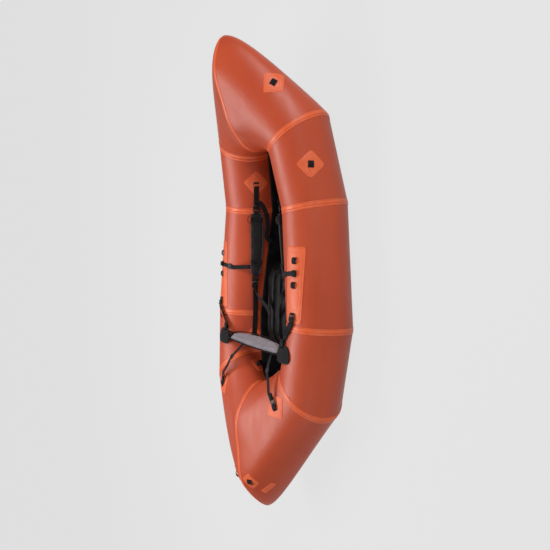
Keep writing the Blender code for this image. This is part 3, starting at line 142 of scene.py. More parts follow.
shaderInputs = {"colour": "Base Color", "rough": "Roughness", "ior": "IOR", "level": "Specular IOR Level",
                "sheen": "Sheen Weight", "metal": "Metallic"}


def finish(v):
    # an empty material with its shader's fixed values set
    made = bpy.data.materials.new(v["name"])
    made.use_nodes = True
    surface = made.node_tree.nodes["Principled BSDF"]
    for key in [k for k in shaderInputs if k in v]:
        surface.inputs[shaderInputs[key]].default_value = linear(v[key]) if key == "colour" else v[key]
    made.diffuse_color = linear(v["colour"])
    return made, made.node_tree, surface


def objectPoint(tree):
    return node(tree, "ShaderNodeTexCoord").outputs["Object"]


def noise(tree, vector, perMetre, detail=3.0, rough=0.5):
    return node(tree, "ShaderNodeTexNoise",
                {"Vector": vector, "Scale": perMetre, "Detail": detail, "Roughness": rough}).outputs["Fac"]


def ranged(tree, value, low, high, outLow=0.0, outHigh=1.0):
    return node(tree, "ShaderNodeMapRange", {0: value, 1: low, 2: high, 3: outLow, 4: outHigh}).outputs[0]


def bumped(tree, surface, layers):
    # stacks bump layers: height socket and depth in metres
    last = None
    for height, depth in layers:
        inputs = {"Height": height, "Strength": 1.0, "Distance": depth}
        if last is not None:
            inputs["Normal"] = last
        last = node(tree, "ShaderNodeBump", inputs).outputs["Normal"]
    tree.links.new(last, surface.inputs["Normal"])


def speckled(tree, point, grain, low=0.3, high=0.7, outLow=0.0, outHigh=1.0):
    # noise of a given grain, spread over a range
    return ranged(tree, noise(tree, point, *grain), low, high, outLow, outHigh)


def stretched(tree, point, scale):
    return node(tree, "ShaderNodeMapping", {"Vector": point, "Scale": scale}).outputs[0]


def clothMap(tree):
    # metres across and along the cloth
    flat = node(tree, "ShaderNodeUVMap", uv_map="cloth").outputs[0]
    return node(tree, "ShaderNodeSeparateXYZ", {0: flat}).outputs


def wired(parts, tone, rough, layers):
    made, tree, surface = parts
    tree.links.new(tone, surface.inputs["Base Color"])
    if rough is not None:
        tree.links.new(rough, surface.inputs["Roughness"])
    bumped(tree, surface, layers)
    return made


# Materials

# colours are sRGB, pitches in millimetres, grains are noise per metre with detail, depths in metres
fabricValues = {
    "hull": {"name": "coatedNylonHull", "colour": "#c84e2c", "faded": "#cf5631", "deep": "#c04829", "rough": 0.42,
             "ior": 1.5, "roughRange": (0.37, 0.50), "broad": (3.2, 4.0), "fine": (140.0, 3.0, 0.6),
             "streaks": (6.0, 26.0, 26.0), "scuffs": (1.0, 5.0, 0.65), "weaveMm": 0.9,
             "wander": (40.0, 2.0), "wanderFar": 0.004,
             "dents": (9.0, 2.0), "depths": (0.0022, 0.000012, 0.00012)},
    "tape": {"name": "weldedSeamTape", "colour": "#f06534", "light": "#f67244", "line": "#c4461f", "rough": 0.40,
             "ior": 1.5, "roughRange": (0.34, 0.46), "tint": (26.0, 4.0), "rub": (60.0, 3.0), "dents": (90.0, 3.0),
             "lines": ((0.0042, 0.0009), (-0.0118, 0.0006)), "fade": 2.2, "lineShare": 0.55,
             "depths": (-0.0004, 0.0003)},
    "patch": {"name": "weldedPatchFilm", "colour": "#f06534", "light": "#f67244", "rough": 0.42,
              "ior": 1.5, "roughRange": (0.36, 0.5), "tint": (18.0, 3.0), "rub": (70.0, 3.0), "dents": (55.0, 3.0),
              "weaveMm": 0.9, "depths": (0.0005, 0.00003)},
    "floor": {"name": "ballisticNylonFloor", "colour": "#161516", "worn": "#2b2a2c", "level": 0.28,
              "crease": (16.0, 3.0, 0.55), "weaveMm": 1.6, "depths": (0.004, 0.00005)},
    "seat": {"name": "coatedSeatNylon", "colour": "#0e0d0e", "worn": "#161516", "level": 0.15,
             "crease": (34.0, 3.0, 0.55), "weaveMm": 1.0, "depths": (0.0030, 0.00005)},
    "webbing": {"name": "polyesterWebbing", "colour": "#161316", "light": "#2b282c", "rough": 0.78, "ior": 1.45,
                "level": 0.25, "sheen": 0.05, "ribMm": 1.6, "strandMm": 1.25, "chevron": 0.005,
                "fluff": (220.0, 3.0), "depths": (0.00025, 0.0002)},
    "pad": {"name": "texturedNylonPad", "colour": "#222021", "light": "#343233", "rough": 0.74},
    "face": {"name": "knitNylonFace", "colour": "#8d868d", "light": "#a39ca3", "dark": "#736c74", "rough": 0.72,
             "ior": 1.45, "level": 0.35, "sheen": 0.25, "knitMm": (1.5, 1.2), "soft": (24.0, 4.0, 0.55),
             "even": 0.55, "depths": (0.003, 0.0001)},
    "binding": {"name": "grosgrainBinding", "colour": "#454345", "light": "#5c595c", "rough": 0.66},
    "wing": {"name": "denseNylonWing", "colour": "#131213", "light": "#201e1f", "rough": 0.8},
    "plastic": {"name": "mouldedAcetal", "colour": "#1b1b1d", "light": "#313134", "rough": 0.38, "ior": 1.48,
                "roughRange": (0.30, 0.48), "grain": (900.0, 2.0), "rub": (60.0, 4.0, 0.6), "depth": 0.00006},
    "steel": {"name": "drawnStainlessWire", "colour": "#c3c3c6", "dull": "#a5a5a9", "rough": 0.26, "metal": 1.0,
              "roughRange": (0.2, 0.36), "streaks": (300, 2400, 2400), "stain": (120.0,), "depth": 0.00003},
    "thread": {"name": "bondedThread", "colour": "#3f3c3e"},
    "paleThread": {"name": "bondedThreadGrey", "colour": "#b9b2b8"},
}


def wave(tree, value, pitchMm):
    return sums(tree, "SINE", sums(tree, "MULTIPLY", value, 2 * math.pi * 1000 / pitchMm))


def weaveHeight(tree, point, pitchMm):
    # plain weave on three axes, so that it needs no unwrapping
    split = node(tree, "ShaderNodeSeparateXYZ", {0: point})
    waves = [wave(tree, split.outputs[k], pitchMm) for k in range(3)]
    crossings = [sums(tree, "MULTIPLY", waves[a], waves[b]) for a, b in ((0, 1), (1, 2), (2, 0))]
    return sums(tree, "ADD", sums(tree, "ADD", crossings[0], crossings[1]), crossings[2])


def coatedNylon(v):
    # 210 denier nylon coated with polyurethane on the outside: a satin film over a weave that just shows
    parts = finish(v)
    tree, (deep, broad, shallow) = parts[1], v["depths"]
    point = objectPoint(tree)
    fine = noise(tree, point, *v["fine"])
    tone = mixed(tree, speckled(tree, point, v["broad"]), linear(v["deep"]), linear(v["faded"]))
    tone = mixed(tree, ranged(tree, fine, 0.35, 0.75, 0.25, 0.75), tone, linear(v["colour"]))
    rough = speckled(tree, stretched(tree, point, v["streaks"]), v["scuffs"], 0.3, 0.75, *v["roughRange"])
    # the true thread pitch is 0.35 mm; it is drawn at 0.9 mm so that it can show close up, and its
    # threads wander a little so that they never beat against the picture's own grid
    scale, detail = v["wander"]
    wander = node(tree, "ShaderNodeTexNoise", {"Vector": point, "Scale": scale, "Detail": detail}).outputs["Color"]
    offset = node(tree, "ShaderNodeVectorMath", {0: wander, 3: v["wanderFar"]}, operation="SCALE").outputs[0]
    loose = node(tree, "ShaderNodeVectorMath", {0: point, 1: offset}, operation="ADD").outputs[0]
    return wired(parts, tone, rough, ((noise(tree, point, *v["dents"]), deep),
                                      (weaveHeight(tree, loose, v["weaveMm"]), broad), (fine, shallow)))


def seamTape(v):
    # welded tape, glossier film than the panels, with the hot bar's pressed line along it
    parts = finish(v)
    tree, (pressed, dented) = parts[1], v["depths"]
    point = objectPoint(tree)
    u = clothMap(tree)[0]
    tone = mixed(tree, speckled(tree, point, v["tint"]), linear(v["colour"]), linear(v["light"]))
    lines = None
    for at, half in v["lines"]:
        off = sums(tree, "ABSOLUTE", sums(tree, "SUBTRACT", u, at))
        one = ranged(tree, off, half, half * v["fade"], 1.0, 0.0)
        lines = one if lines is None else sums(tree, "MAXIMUM", lines, one)
    tone = mixed(tree, sums(tree, "MULTIPLY", lines, v["lineShare"]), tone, linear(v["line"]))
    return wired(parts, tone, speckled(tree, point, v["rub"], 0.3, 0.7, *v["roughRange"]),
                 ((lines, pressed), (noise(tree, point, *v["dents"]), dented)))


def patchFilm(v):
    # die-cut patch of the same film, welded flat; the cloth's weave prints through it faintly
    parts = finish(v)
    tree, (dented, woven) = parts[1], v["depths"]
    point = objectPoint(tree)
    tone = mixed(tree, speckled(tree, point, v["tint"]), linear(v["colour"]), linear(v["light"]))
    return wired(parts, tone, speckled(tree, point, v["rub"], 0.3, 0.7, *v["roughRange"]),
                 ((noise(tree, point, *v["dents"]), dented), (weaveHeight(tree, point, v["weaveMm"]), woven)))


blackValues = {"rough": 0.40, "ior": 1.5, "rubbed": (14.0, 5.0, 0.6), "rubbedRange": (0.45, 0.8),
               "scuffs": (30.0, 4.0), "roughSpread": (-0.07, 0.1)}


def blackFabric(row):
    # coated black nylon: creased, with worn paler places
    v = {**blackValues, **row}
    parts = finish(v)
    tree, (creased, woven) = parts[1], v["depths"]
    point = objectPoint(tree)
    rubbed = speckled(tree, point, v["rubbed"], *v["rubbedRange"])
    tone = mixed(tree, rubbed, linear(v["colour"]), linear(v["worn"]))
    rough = speckled(tree, point, v["scuffs"], 0.3, 0.7, *[v["rough"] + spread for spread in v["roughSpread"]])
    return wired(parts, tone, rough, ((noise(tree, point, *v["crease"]), creased),
                                      (weaveHeight(tree, point, v["weaveMm"]), woven)))


def webbingWeave(v):
    # flat polyester webbing, woven with a chevron: matt ribs across it and a denser selvedge
    parts = finish(v)
    tree, (woven, furred) = parts[1], v["depths"]
    across, along = clothMap(tree)[0], clothMap(tree)[1]
    zigzag = sums(tree, "MODULO", sums(tree, "ADD", across, 1.0), v["chevron"])
    bent = sums(tree, "ADD", along, sums(tree, "ABSOLUTE", sums(tree, "SUBTRACT", zigzag, v["chevron"] / 2)))
    height = sums(tree, "ADD", sums(tree, "MULTIPLY", wave(tree, bent, v["ribMm"]), 0.5),
                  sums(tree, "MULTIPLY", wave(tree, across, v["strandMm"]), 0.4))
    fluff = noise(tree, objectPoint(tree), *v["fluff"])
    # the colour is lighter on the ribs' tops and darker in their grooves, painted shade of the weave, and lighter where
    # the fluff lies
    share = sums(tree, "MULTIPLY", ranged(tree, height, -0.6, 0.9), ranged(tree, fluff, 0.3, 0.7, 0.35, 1.0))
    return wired(parts, mixed(tree, share, linear(v["colour"]), linear(v["light"])), None,
                 ((height, woven), (fluff, furred)))


def faceCloth(v):
    # stretch nylon over the backband: a fine knit that creases lightly, with painted shade in the creases
    parts = finish(v)
    tree, (creased, knitted) = parts[1], v["depths"]
    flat = clothMap(tree)
    knit = sums(tree, "MULTIPLY", *[wave(tree, flat[k], v["knitMm"][k]) for k in (0, 1)])
    soft = noise(tree, objectPoint(tree), *v["soft"])
    # painted shade: the crease noise that raises the cloth also lightens it on the crests and darkens it in the hollows
    tone = mixed(tree, ranged(tree, soft, 0.3, 0.7), linear(v["dark"]), linear(v["light"]))
    tone = mixed(tree, v["even"], tone, linear(v["colour"]))
    tone = mixed(tree, ranged(tree, knit, 0.2, 1.0, 0.0, 0.2), tone, linear(v["dark"]))
    return wired(parts, tone, None, ((soft, creased), (knit, knitted)))


corduraValues = {"ior": 1.45, "level": 0.25, "sheen": 0.05, "weaveMm": 1.1, "worn": (30.0, 3.0), "dents": (35.0, 3.0),
                 "depths": (0.0012, 0.00012)}


def cordura(row):
    # textured nylon over foam, coarse matt weave
    v = {**corduraValues, **row}
    parts = finish(v)
    tree, (dented, woven) = parts[1], v["depths"]
    point = objectPoint(tree)
    weave = weaveHeight(tree, point, v["weaveMm"])
    # the raised threads are drawn paler and the hollows between them stay dark: painted shade of the weave, mixed with
    # wear in random patches
    share = sums(tree, "MULTIPLY", ranged(tree, weave, -0.2, 1.4), speckled(tree, point, v["worn"]))
    return wired(parts, mixed(tree, share, linear(v["colour"]), linear(v["light"])), None,
                 ((noise(tree, point, *v["dents"]), dented), (weave, woven)))


def mouldedAcetal(v):
    # injection-moulded acetal: dense black, fine spark-eroded grain, polished where webbing runs
    parts = finish(v)
    tree = parts[1]
    point = objectPoint(tree)
    rub = noise(tree, point, *v["rub"])
    tone = mixed(tree, ranged(tree, rub, 0.5, 0.8, 0.0, 0.5), linear(v["colour"]), linear(v["light"]))
    return wired(parts, tone, ranged(tree, rub, 0.3, 0.75, *v["roughRange"]),
                 ((noise(tree, point, *v["grain"]), v["depth"]),))


def drawnSteel(v):
    # stainless wire, drawn and tumbled: bright with faint lengthwise lines
    parts = finish(v)
    tree = parts[1]
    point = objectPoint(tree)
    lines = noise(tree, stretched(tree, point, v["streaks"]), 1.0, 3.0)
    tone = mixed(tree, speckled(tree, point, v["stain"], 0.4, 0.8), linear(v["colour"]), linear(v["dull"]))
    return wired(parts, tone, ranged(tree, lines, 0.3, 0.7, *v["roughRange"]), ((lines, v["depth"]),))


threadValues = {"rough": 0.6, "sheen": 0.2, "light": "#6a6769", "plies": (1200.0, 2.0), "depth": 0.0001}


def sewingThread(row):
    # bonded polyester sewing thread, twisted from three plies
    v = {**threadValues, **row}
    parts = finish(v)
    tree = parts[1]
    ply = noise(tree, objectPoint(tree), *v["plies"])
    tone = mixed(tree, ranged(tree, ply, 0.3, 0.7, 0.0, 0.5), linear(v["colour"]), linear(v["light"]))
    return wired(parts, tone, None, ((ply, v["depth"]),))


# the floor is 840 denier ballistic nylon with a wet-looking film, the wing a dense nylon over its stiffener
makers = {"hull": coatedNylon, "tape": seamTape, "patch": patchFilm, "floor": blackFabric, "seat": blackFabric,
          "webbing": webbingWeave, "pad": cordura, "binding": cordura, "wing": cordura, "face": faceCloth,
          "plastic": mouldedAcetal, "steel": drawnSteel, "thread": sewingThread, "paleThread": sewingThread}
cloths = {name: make(fabricValues[name]) for name, make in makers.items()}
print("materials made:", len(cloths))


# Mesh pieces

def linked(name, data):
    made = bpy.data.objects.new(name, data)
    scene.collection.objects.link(made)
    return made


def evaluated(piece):
    bpy.context.view_layer.update()
    return bpy.data.meshes.new_from_object(piece.evaluated_get(bpy.context.evaluated_depsgraph_get()))


def meshPiece(name, verts, faces, cloth):
    mesh = bpy.data.meshes.new(name)
    mesh.from_pydata([tuple(map(float, v)) for v in verts], [], [tuple(f) for f in faces])
    mesh.materials.append(cloths[cloth])
    mesh.update()
    mesh.shade_smooth()
    return linked(name, mesh)


def gridPiece(name, rows, cloth, closedCols=False, closedRows=False, caps=False, across=None, along=None):
    # a grid of points as quads, with a map in metres for weaves and pressed lines
    rows = np.asarray(rows, float)
    count, width = rows.shape[:2]
    faces, maps = [], []
    if across is None:
        across = np.concatenate([[0.0], np.cumsum(np.linalg.norm(np.diff(rows[count // 2], axis=0), axis=1))])
    if along is None:
        steps = np.linalg.norm(np.diff(rows, axis=0), axis=2)
        along = np.concatenate([[0.0], np.cumsum(steps.mean(axis=1))])
    across, along = list(across), list(along)
    if closedCols:
        across.append(2 * across[-1] - across[-2])
    if closedRows:
        along.append(2 * along[-1] - along[-2])
    for i in range(count if closedRows else count - 1):
        for j in range(width if closedCols else width - 1):
            a, b = i * width + j, i * width + (j + 1) % width
            c, d = ((i + 1) % count) * width + (j + 1) % width, ((i + 1) % count) * width + j
            faces.append((a, b, c, d))
            maps += [(across[j], along[i]), (across[j + 1], along[i]), (across[j + 1], along[i + 1]),
                     (across[j], along[i + 1])]
    if caps:
        for i, order in ((0, range(width)), (count - 1, reversed(range(width)))):
            faces.append([i * width + j for j in order])
            maps += [(across[k % width], along[i]) for k in faces[-1]]
    piece = meshPiece(name, rows.reshape(-1, 3), faces, cloth)
    layer = piece.data.uv_layers.new(name="cloth")
    layer.data.foreach_set("uv", np.array(maps, np.float32).ravel())
    return piece


def gathered(items, field):
    # a vector of every item of a mesh
    out = np.zeros(len(items) * 3)
    items.foreach_get(field, out)
    return out.reshape(-1, 3)


def faceAlong(piece, directionAt):
    # turns an open surface so that its faces look along a direction
    mesh = piece.data
    if (gathered(mesh.polygons, "normal") * directionAt(gathered(mesh.polygons, "center"))).sum() < 0:
        mesh.flip_normals()
    return piece


def reworked(piece, edit):
    # edits a mesh and turns its faces outwards
    work = bmesh.new()
    work.from_mesh(piece.data)
    edit(work)
    bmesh.ops.recalc_face_normals(work, faces=work.faces)
    work.to_mesh(piece.data)
    work.free()
    return piece


mergeFine, mergeWide = 0.000002, 0.00001


def closedOut(piece, distance=mergeFine):
    # merges doubles too
    return reworked(piece, lambda work: bmesh.ops.remove_doubles(work, verts=work.verts, dist=distance))


def applied(piece):
    # bakes the modifiers into a plain mesh
    mesh, old = evaluated(piece), piece.data
    piece.modifiers.clear()
    piece.data = mesh
    bpy.data.meshes.remove(old)
    mesh.name = piece.name
    return piece


def walled(piece, thickness, side=-1.0):
    wall = piece.modifiers.new("clothThickness", "SOLIDIFY")
    wall.thickness = thickness
    wall.offset = side
    wall.use_even_offset = True
    return piece


def placed(piece, matrix):
    piece.data.transform(matrix)
    return piece


def other(name):
    return name[:-2] + "_p" if name.endswith("_s") else name


def settle(piece, body, slot, nodes=()):
    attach(piece, body)
    if nodes:
        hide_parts(*nodes)
    return piece


def portTwin(piece):
    mesh = piece.data.copy()
    mesh.transform(Matrix.Diagonal((1, -1, 1, 1)))
    mesh.flip_normals()
    mesh.name = other(piece.name)
    twin = linked(mesh.name, mesh)
    for mod in piece.modifiers:
        copy = twin.modifiers.new(mod.name, mod.type)
        for field in ("thickness", "offset", "use_even_offset"):
            setattr(copy, field, getattr(mod, field))
    return twin


def settleBoth(piece, body, slot, nodes=()):
    # the starboard piece and its port twin
    twin = portTwin(piece)
    settle(twin, other(body), slot, [other(n) for n in nodes])
    settle(piece, body, slot, nodes)
    return piece, twin


def curveThrough(p0, p1, p2, p3, t):
    return 0.5 * (2 * p1 + (p2 - p0) * t + (2 * p0 - 5 * p1 + 4 * p2 - p3) * t ** 2
                  + (3 * p1 - p0 - 3 * p2 + p3) * t ** 3)


def smoothPath(points, perSpan):
    pts = [np.asarray(p, float) for p in points]
    pts = [2 * pts[0] - pts[1]] + pts + [2 * pts[-1] - pts[-2]]
    return [curveThrough(*pts[i - 1:i + 3], k / perSpan)
            for i in range(1, len(pts) - 2) for k in range(perSpan)] + [pts[-2]]


def aheadAt(path, i):
    return unit(path[min(i + 1, len(path) - 1)] - path[max(i - 1, 0)])


def squareSides(path, sides):
    # side vectors made square to the path
    out = []
    for i, side in enumerate(sides):
        ahead = aheadAt(path, i)
        out.append(unit(side - ahead * (side @ ahead)))
    return out


def strap(name, path, sides, width, thickness=0.0014):
    # woven strap: rounded selvedges, laid along a path
    path = [np.asarray(p, float) for p in path]
    sides = [np.asarray(sides, float)] * len(path) if np.ndim(sides) == 1 else list(sides)
    sides = squareSides(path, sides)
    half, low = width / 2, thickness / 2
    upper = [(-half + low * 0.6, low * 0.85), (-half * 0.6, low), (0.0, low * 0.92), (half * 0.6, low),
             (half - low * 0.6, low * 0.85)]
    outline = [(-half, 0.0)] + upper + [(half, 0.0)] + [(a, -b) for a, b in reversed(upper)]
    rows = []
    for i, p in enumerate(path):
        ahead = aheadAt(path, i)
        face = np.cross(ahead, sides[i])
        rows.append([p + sides[i] * a + face * b for a, b in outline])
    along = np.concatenate([[0.0], np.cumsum([np.linalg.norm(b - a) for a, b in zip(path, path[1:])])])
    piece = gridPiece(name, rows, "webbing", closedCols=True, caps=True, across=[a for a, _ in outline], along=along)
    return closedOut(piece)


print("helpers ready")


# Hull shape

hullValues = {
    "radius": 0.151, "weldGap": 0.0003, "fabric": 0.0008, "seamGap": 0.0006,
    "frontBend": (0.357, 0.289), "rearBend": (-0.194, 0.352),
    "bowSeam": (0.682, 0.244, 0.0646), "bowYaw": -29.5, "bowLean": 16.8,
    "sternSeam": (-0.489, 0.314, 0.018), "sternYaw": 38.5, "sternLean": -3.0,
    "noseLean": 0.8, "around": 144, "tubeRows": 44, "endRows": 72,
    "pucker": 0.0009, "puckerReach": 0.024, "folds": ((0.25, 23, 1.3), (0.15, 37, 0.4), (0.10, 53, 0.0)),
    "outerFold": 0.35, "endLength": 0.30,
}

endValues = {
    "bow": {"crotch": 0.618, "reach": 0.519, "top": 0.530, "away": 1.0, "seamPull": 0.107,
            "pulls": (0.435, 0.025, 0.150, 0.144),
            "shares": ((1.0, 0.893), (0.736, 1.0), (0.428, 0.924), (0.158, 0.804),
                       (0.0, 0.567), (0.158, 0.066), (0.466, 0.080), (0.774, 0.522))},
    "stern": {"crotch": -0.502, "reach": -0.635, "top": 0.386, "away": -1.0, "seamPull": 0.010,
              "pulls": (0.275, 0.379, 0.150, 0.164),
              "shares": ((1.0, 0.552), (0.792, 0.913), (0.506, 0.992), (0.219, 0.998),
                         (0.0, 0.669), (0.219, 0.090), (0.506, 0.083), (0.792, 0.412))},
}


def leaning(yaw, lean):
    yaw, lean = math.radians(yaw), math.radians(lean)
    return np.array([math.cos(yaw) * math.cos(lean), -math.sin(yaw) * math.cos(lean), math.sin(lean)])


def hullSeams(v):
    high = v["radius"] + v["weldGap"] + v["fabric"]
    bow, front, rear, stern = (np.array([x, -y, high + z]) for x, y, z in (
        v["bowSeam"], (*v["frontBend"], 0.0), (*v["rearBend"], 0.0), v["sternSeam"]))
    foreAxis, midAxis, aftAxis = unit(bow - front), unit(front - rear), unit(rear - stern)
    return {"bow": (bow, foreAxis, leaning(v["bowYaw"], v["bowLean"])),
            "front": (front, midAxis, unit(foreAxis + midAxis)),
            "rear": (rear, midAxis, unit(midAxis + aftAxis)),
            "stern": (stern, aftAxis, leaning(v["sternYaw"], v["sternLean"]))}


seams = hullSeams(hullValues)
tubes = {"front": ("bow", "front"), "mid": ("front", "rear"), "rear": ("rear", "stern")}


def seamPoint(seam, phi):
    # phi runs from outboard over the top to inboard
    centre, axis, normal = seams[seam]
    rise = unit(upward - axis * axis[2])
    out = np.cross(rise, axis)
    out = -out if out[1] > 0 else out
    phi = np.asarray(phi, float)[..., None]
    d = hullValues["radius"] * (np.cos(phi) * out + np.sin(phi) * rise)
    along = -(d @ normal) / (axis @ normal)
    return centre + d + along[..., None] * axis


def outlinePoint(end, phi):
    v = endValues[end]
    pts = np.array([[v["crotch"] + a * v["reach"], -hullValues["seamGap"] / 2, b * v["top"]] for a, b in v["shares"]])
    turn = (np.asarray(phi, float) / (2 * math.pi)) % 1.0 * len(pts)
    i = np.floor(turn).astype(int) % len(pts)
    t = (turn - np.floor(turn))[..., None]
    return curveThrough(*(pts[(i + k) % len(pts)] for k in (-1, 0, 1, 2)), t)


def endPoint(end, u, phi):
    v = endValues[end]
    nose, top, crotch, bottom = v["pulls"]
    u, phi = np.broadcast_arrays(np.asarray(u, float), np.asarray(phi, float))
    c, s = np.cos(phi), np.sin(phi)
    pull = (nose * np.maximum(c, 0) ** 2 + crotch * np.maximum(-c, 0) ** 2
            + top * np.maximum(s, 0) ** 2 + bottom * np.maximum(-s, 0) ** 2)
    centre, axis, _ = seams[end]
    tip = outlinePoint(end, 0.0) * np.array([1.0, 0.0, 1.0])
    start = unit(unit(tip - centre) + hullValues["noseLean"] * unit(axis * v["away"]))
    a, b = seamPoint(end, phi), outlinePoint(end, phi)
    u, pull = u[..., None], pull[..., None]
    return ((2 * u ** 3 - 3 * u ** 2 + 1) * a + (u ** 3 - 2 * u ** 2 + u) * v["seamPull"] * start
            + (3 * u ** 2 - 2 * u ** 3) * b + (u ** 3 - u ** 2) * pull * np.array([0.0, 1.0, 0.0]))


def skin(zone, u, phi):
    if zone in tubes:
        a, b = tubes[zone]
        u = np.asarray(u, float)[..., None]
        return (1 - u) * seamPoint(a, phi) + u * seamPoint(b, phi)
    return endPoint(zone, u, phi)


def skinNormal(zone, u, phi):
    step = 0.0005
    u, phi = np.broadcast_arrays(np.asarray(u, float), np.asarray(phi, float))
    du = skin(zone, np.minimum(u + step, 1.0), phi) - skin(zone, np.maximum(u - step, 0.0), phi)
    dp = skin(zone, u, phi + step) - skin(zone, u, phi - step)
    n = unit(np.cross(du, dp))
    return n * normalSign[zone]


normalSign = dict.fromkeys(("bow", "front", "mid", "rear", "stern"), 1.0)
for zoneName in normalSign:
    middle = skin(zoneName, np.full(4, 0.5), np.arange(4) * math.pi / 2).mean(axis=0)
    if skinNormal(zoneName, 0.5, 0.3) @ (skin(zoneName, 0.5, 0.3) - middle) < 0:
        normalSign[zoneName] = -1.0


def seamFar(zone, u, phi):
    # distance from the nearer taped seam, roughly
    if zone in tubes:
        a, b = tubes[zone]
        length = np.linalg.norm(seamPoint(a, phi) - seamPoint(b, phi), axis=-1)
        return np.minimum(u, 1 - u) * length
    return u * hullValues["endLength"]


def puckered(zone, u, phi):
    # fabric gathers in small folds beside a seam, more on the inside of the bend
    v = hullValues
    u, phi = np.broadcast_arrays(np.asarray(u, float), np.asarray(phi, float))
    near = np.exp(-seamFar(zone, u, phi) / v["puckerReach"])
    fold = sum((size * np.sin(count * phi + start) for size, count, start in v["folds"]), 0.5)
    inside = v["outerFold"] + (1 - v["outerFold"]) * np.clip(-np.cos(phi), 0, 1)
    return -v["pucker"] * near * fold * inside


def cloth(zone, u, phi, gap=0.0):
    u, phi = np.broadcast_arrays(np.asarray(u, float), np.asarray(phi, float))
    return skin(zone, u, phi) + (gap + puckered(zone, u, phi))[..., None] * skinNormal(zone, u, phi)


ring = 2 * math.pi * np.arange(hullValues["around"]) / hullValues["around"]


def shareFrom(zone, phi, distance, fromStart):
    # the share of the loft at a set distance from one of its seams, for each angle
    us = np.linspace(0.0, 1.0, 90)
    pts = skin(zone, us[:, None], phi[None, :])
    far = np.concatenate([np.zeros((1, len(phi))), np.cumsum(np.linalg.norm(np.diff(pts, axis=0), axis=2), axis=0)])
    sought = np.full(len(phi), distance) if fromStart else far[-1] - distance
    return np.array([np.interp(sought[k], far[:, k], us) for k in range(len(phi))])


def hullPanel(zone):
    v = hullValues
    count = v["tubeRows"] if zone in tubes else v["endRows"]
    us = (1 - np.cos(np.pi * np.arange(count + 1) / count)) / 2
    rows = cloth(zone, us[:, None], ring[None, :])
    if zone not in tubes:
        rows[-1] = outlinePoint(zone, ring)
    name = "tube_" + zone if zone in tubes else zone + "_panel"
    piece = gridPiece(name + "_cloth_s", rows, "hull", closedCols=True)
    middles = rows.mean(axis=1)
    faceAlong(piece, lambda c: c - middles[np.argmin(((c[:, None] - middles[None]) ** 2).sum(-1), axis=1)])
    walled(piece, v["fabric"])
    settleBoth(piece, "hull", "hull_fabric", [name + "_s"])


for zoneName in normalSign:
    hullPanel(zoneName)
print("hull panels made")


# Seam tapes

tapeValues = {
    "half": 0.0150, "centreHalf": 0.0130, "base": 0.0002, "top": 0.0013, "edge": 0.0007, "film": 0.0005,
    "ragged": 0.0005, "raggedFrom": 0.85, "waves": ((1.0, 5, 0.5), (0.6, 13, 0.0), (0.5, 29, 2.0)), "waveSum": 2.1,
    "profile": ((-0.80, 1.0), (-0.77, 0.72), (-0.72, 1.0), (-0.4, 1.0), (-0.12, 1.0), (0.0, 1.0), (0.12, 1.0),
                (0.22, 1.0), (0.27, 0.6), (0.33, 1.0), (0.6, 1.0)),
}


def tapeProfile(half, v):
    # distance across the seam and height off the cloth
    inner = [(half * share, v["top"] * high) for share, high in v["profile"]]
    return [(-half, v["base"]), (-half + v["edge"], v["top"])] + inner + [
        (half - v["edge"], v["top"]), (half, v["base"])]


def tapeFilm(name, rows, across, nodes, settleAs):
    rows = np.transpose(np.array(rows), (1, 0, 2))           # one row for each angle
    piece = gridPiece(name, rows, "tape", closedRows=True, across=across)
    middle = rows.mean(axis=(0, 1))
    faceAlong(piece, lambda c: c - middle)
    walled(piece, tapeValues["film"])
    settleAs(piece, "hull", "weld_tape", nodes)


def tapeBand(name, first, second, nodes):
    # first and second are the zones on each side and whether each starts at the seam
    v = tapeValues
    half = v["half"]
    rows, across = [], []
    ragged = v["ragged"] * sum(size * np.sin(count * ring + start) for size, count, start in v["waves"]) / v["waveSum"]
    for s, high in tapeProfile(half, v):
        across.append(s)
        zone, atStart = first if s <= 0 else second
        if abs(s) > 1e-9:
            reach = abs(s) + (ragged if abs(s) > half * v["raggedFrom"] else 0.0)
            rows.append(cloth(zone, shareFrom(zone, ring, reach, atStart), ring, high))
            continue
        edges = [skinNormal(side, 1.0 - begins, ring) for side, begins in (first, second)]
        middle = unit(edges[0] + edges[1])
        away = high / np.clip((middle * edges[0]).sum(-1), 0.5, 1.0)
        sink = puckered(zone, np.full(len(ring), 1.0 - atStart), ring)
        rows.append(skin(zone, 1.0 - atStart, ring) + middle * (away + sink)[:, None])
    tapeFilm(name, rows, across, nodes, settleBoth)


def centreTape(end):
    # the tape over the middle seam of the bow or stern
    rows, across = [], []
    for s, high in tapeProfile(tapeValues["centreHalf"], tapeValues):
        across.append(s)
        side = mirror if s > 0 else np.ones(3)
        share = shareFrom(end, ring, abs(s), False) if abs(s) > 1e-9 else np.ones(len(ring))
        lean = skinNormal(end, share, ring)
        if abs(s) <= 1e-9:
            middle = unit(lean + lean * mirror)
            point = outlinePoint(end, ring) * np.array([1.0, 0.0, 1.0])
            rows.append(point + middle * (high / np.clip((middle * lean).sum(-1), 0.4, 1.0))[:, None])
        else:
            rows.append((skin(end, share, ring) + lean * high) * side)
    tapeFilm(end + "_center_tape_film", rows, across, [end + "_center_tape"], settle)


for tapeName, before, after, covered in (("bow", ("bow", True), ("front", True), ["bow_tape_s"]),
                                         ("front", ("front", False), ("mid", True), []),
                                         ("rear", ("mid", False), ("rear", True), []),
                                         ("stern", ("rear", False), ("stern", True), ["stern_tape_s"])):
    tapeBand(tapeName + "_tape_film_s", before, after, covered)
centreTape("bow")
centreTape("stern")
print("tapes made")


# Places on the hull, patches and loops

placeValues = {
    "deck": ("bow", 0.425, math.radians(17)), "front": ("front", 0.53, math.radians(25)),
    "thigh": ("front", 0.46, math.radians(160)), "side": ("mid", 0.635, math.radians(78)),
    "thighRear": ("rear", 0.62, math.radians(165)), "stern": ("stern", 0.30, math.radians(89)),
    "tip": ("stern", 0.84, math.radians(45)), "valve": ("rear", 0.45, math.radians(10)),
}

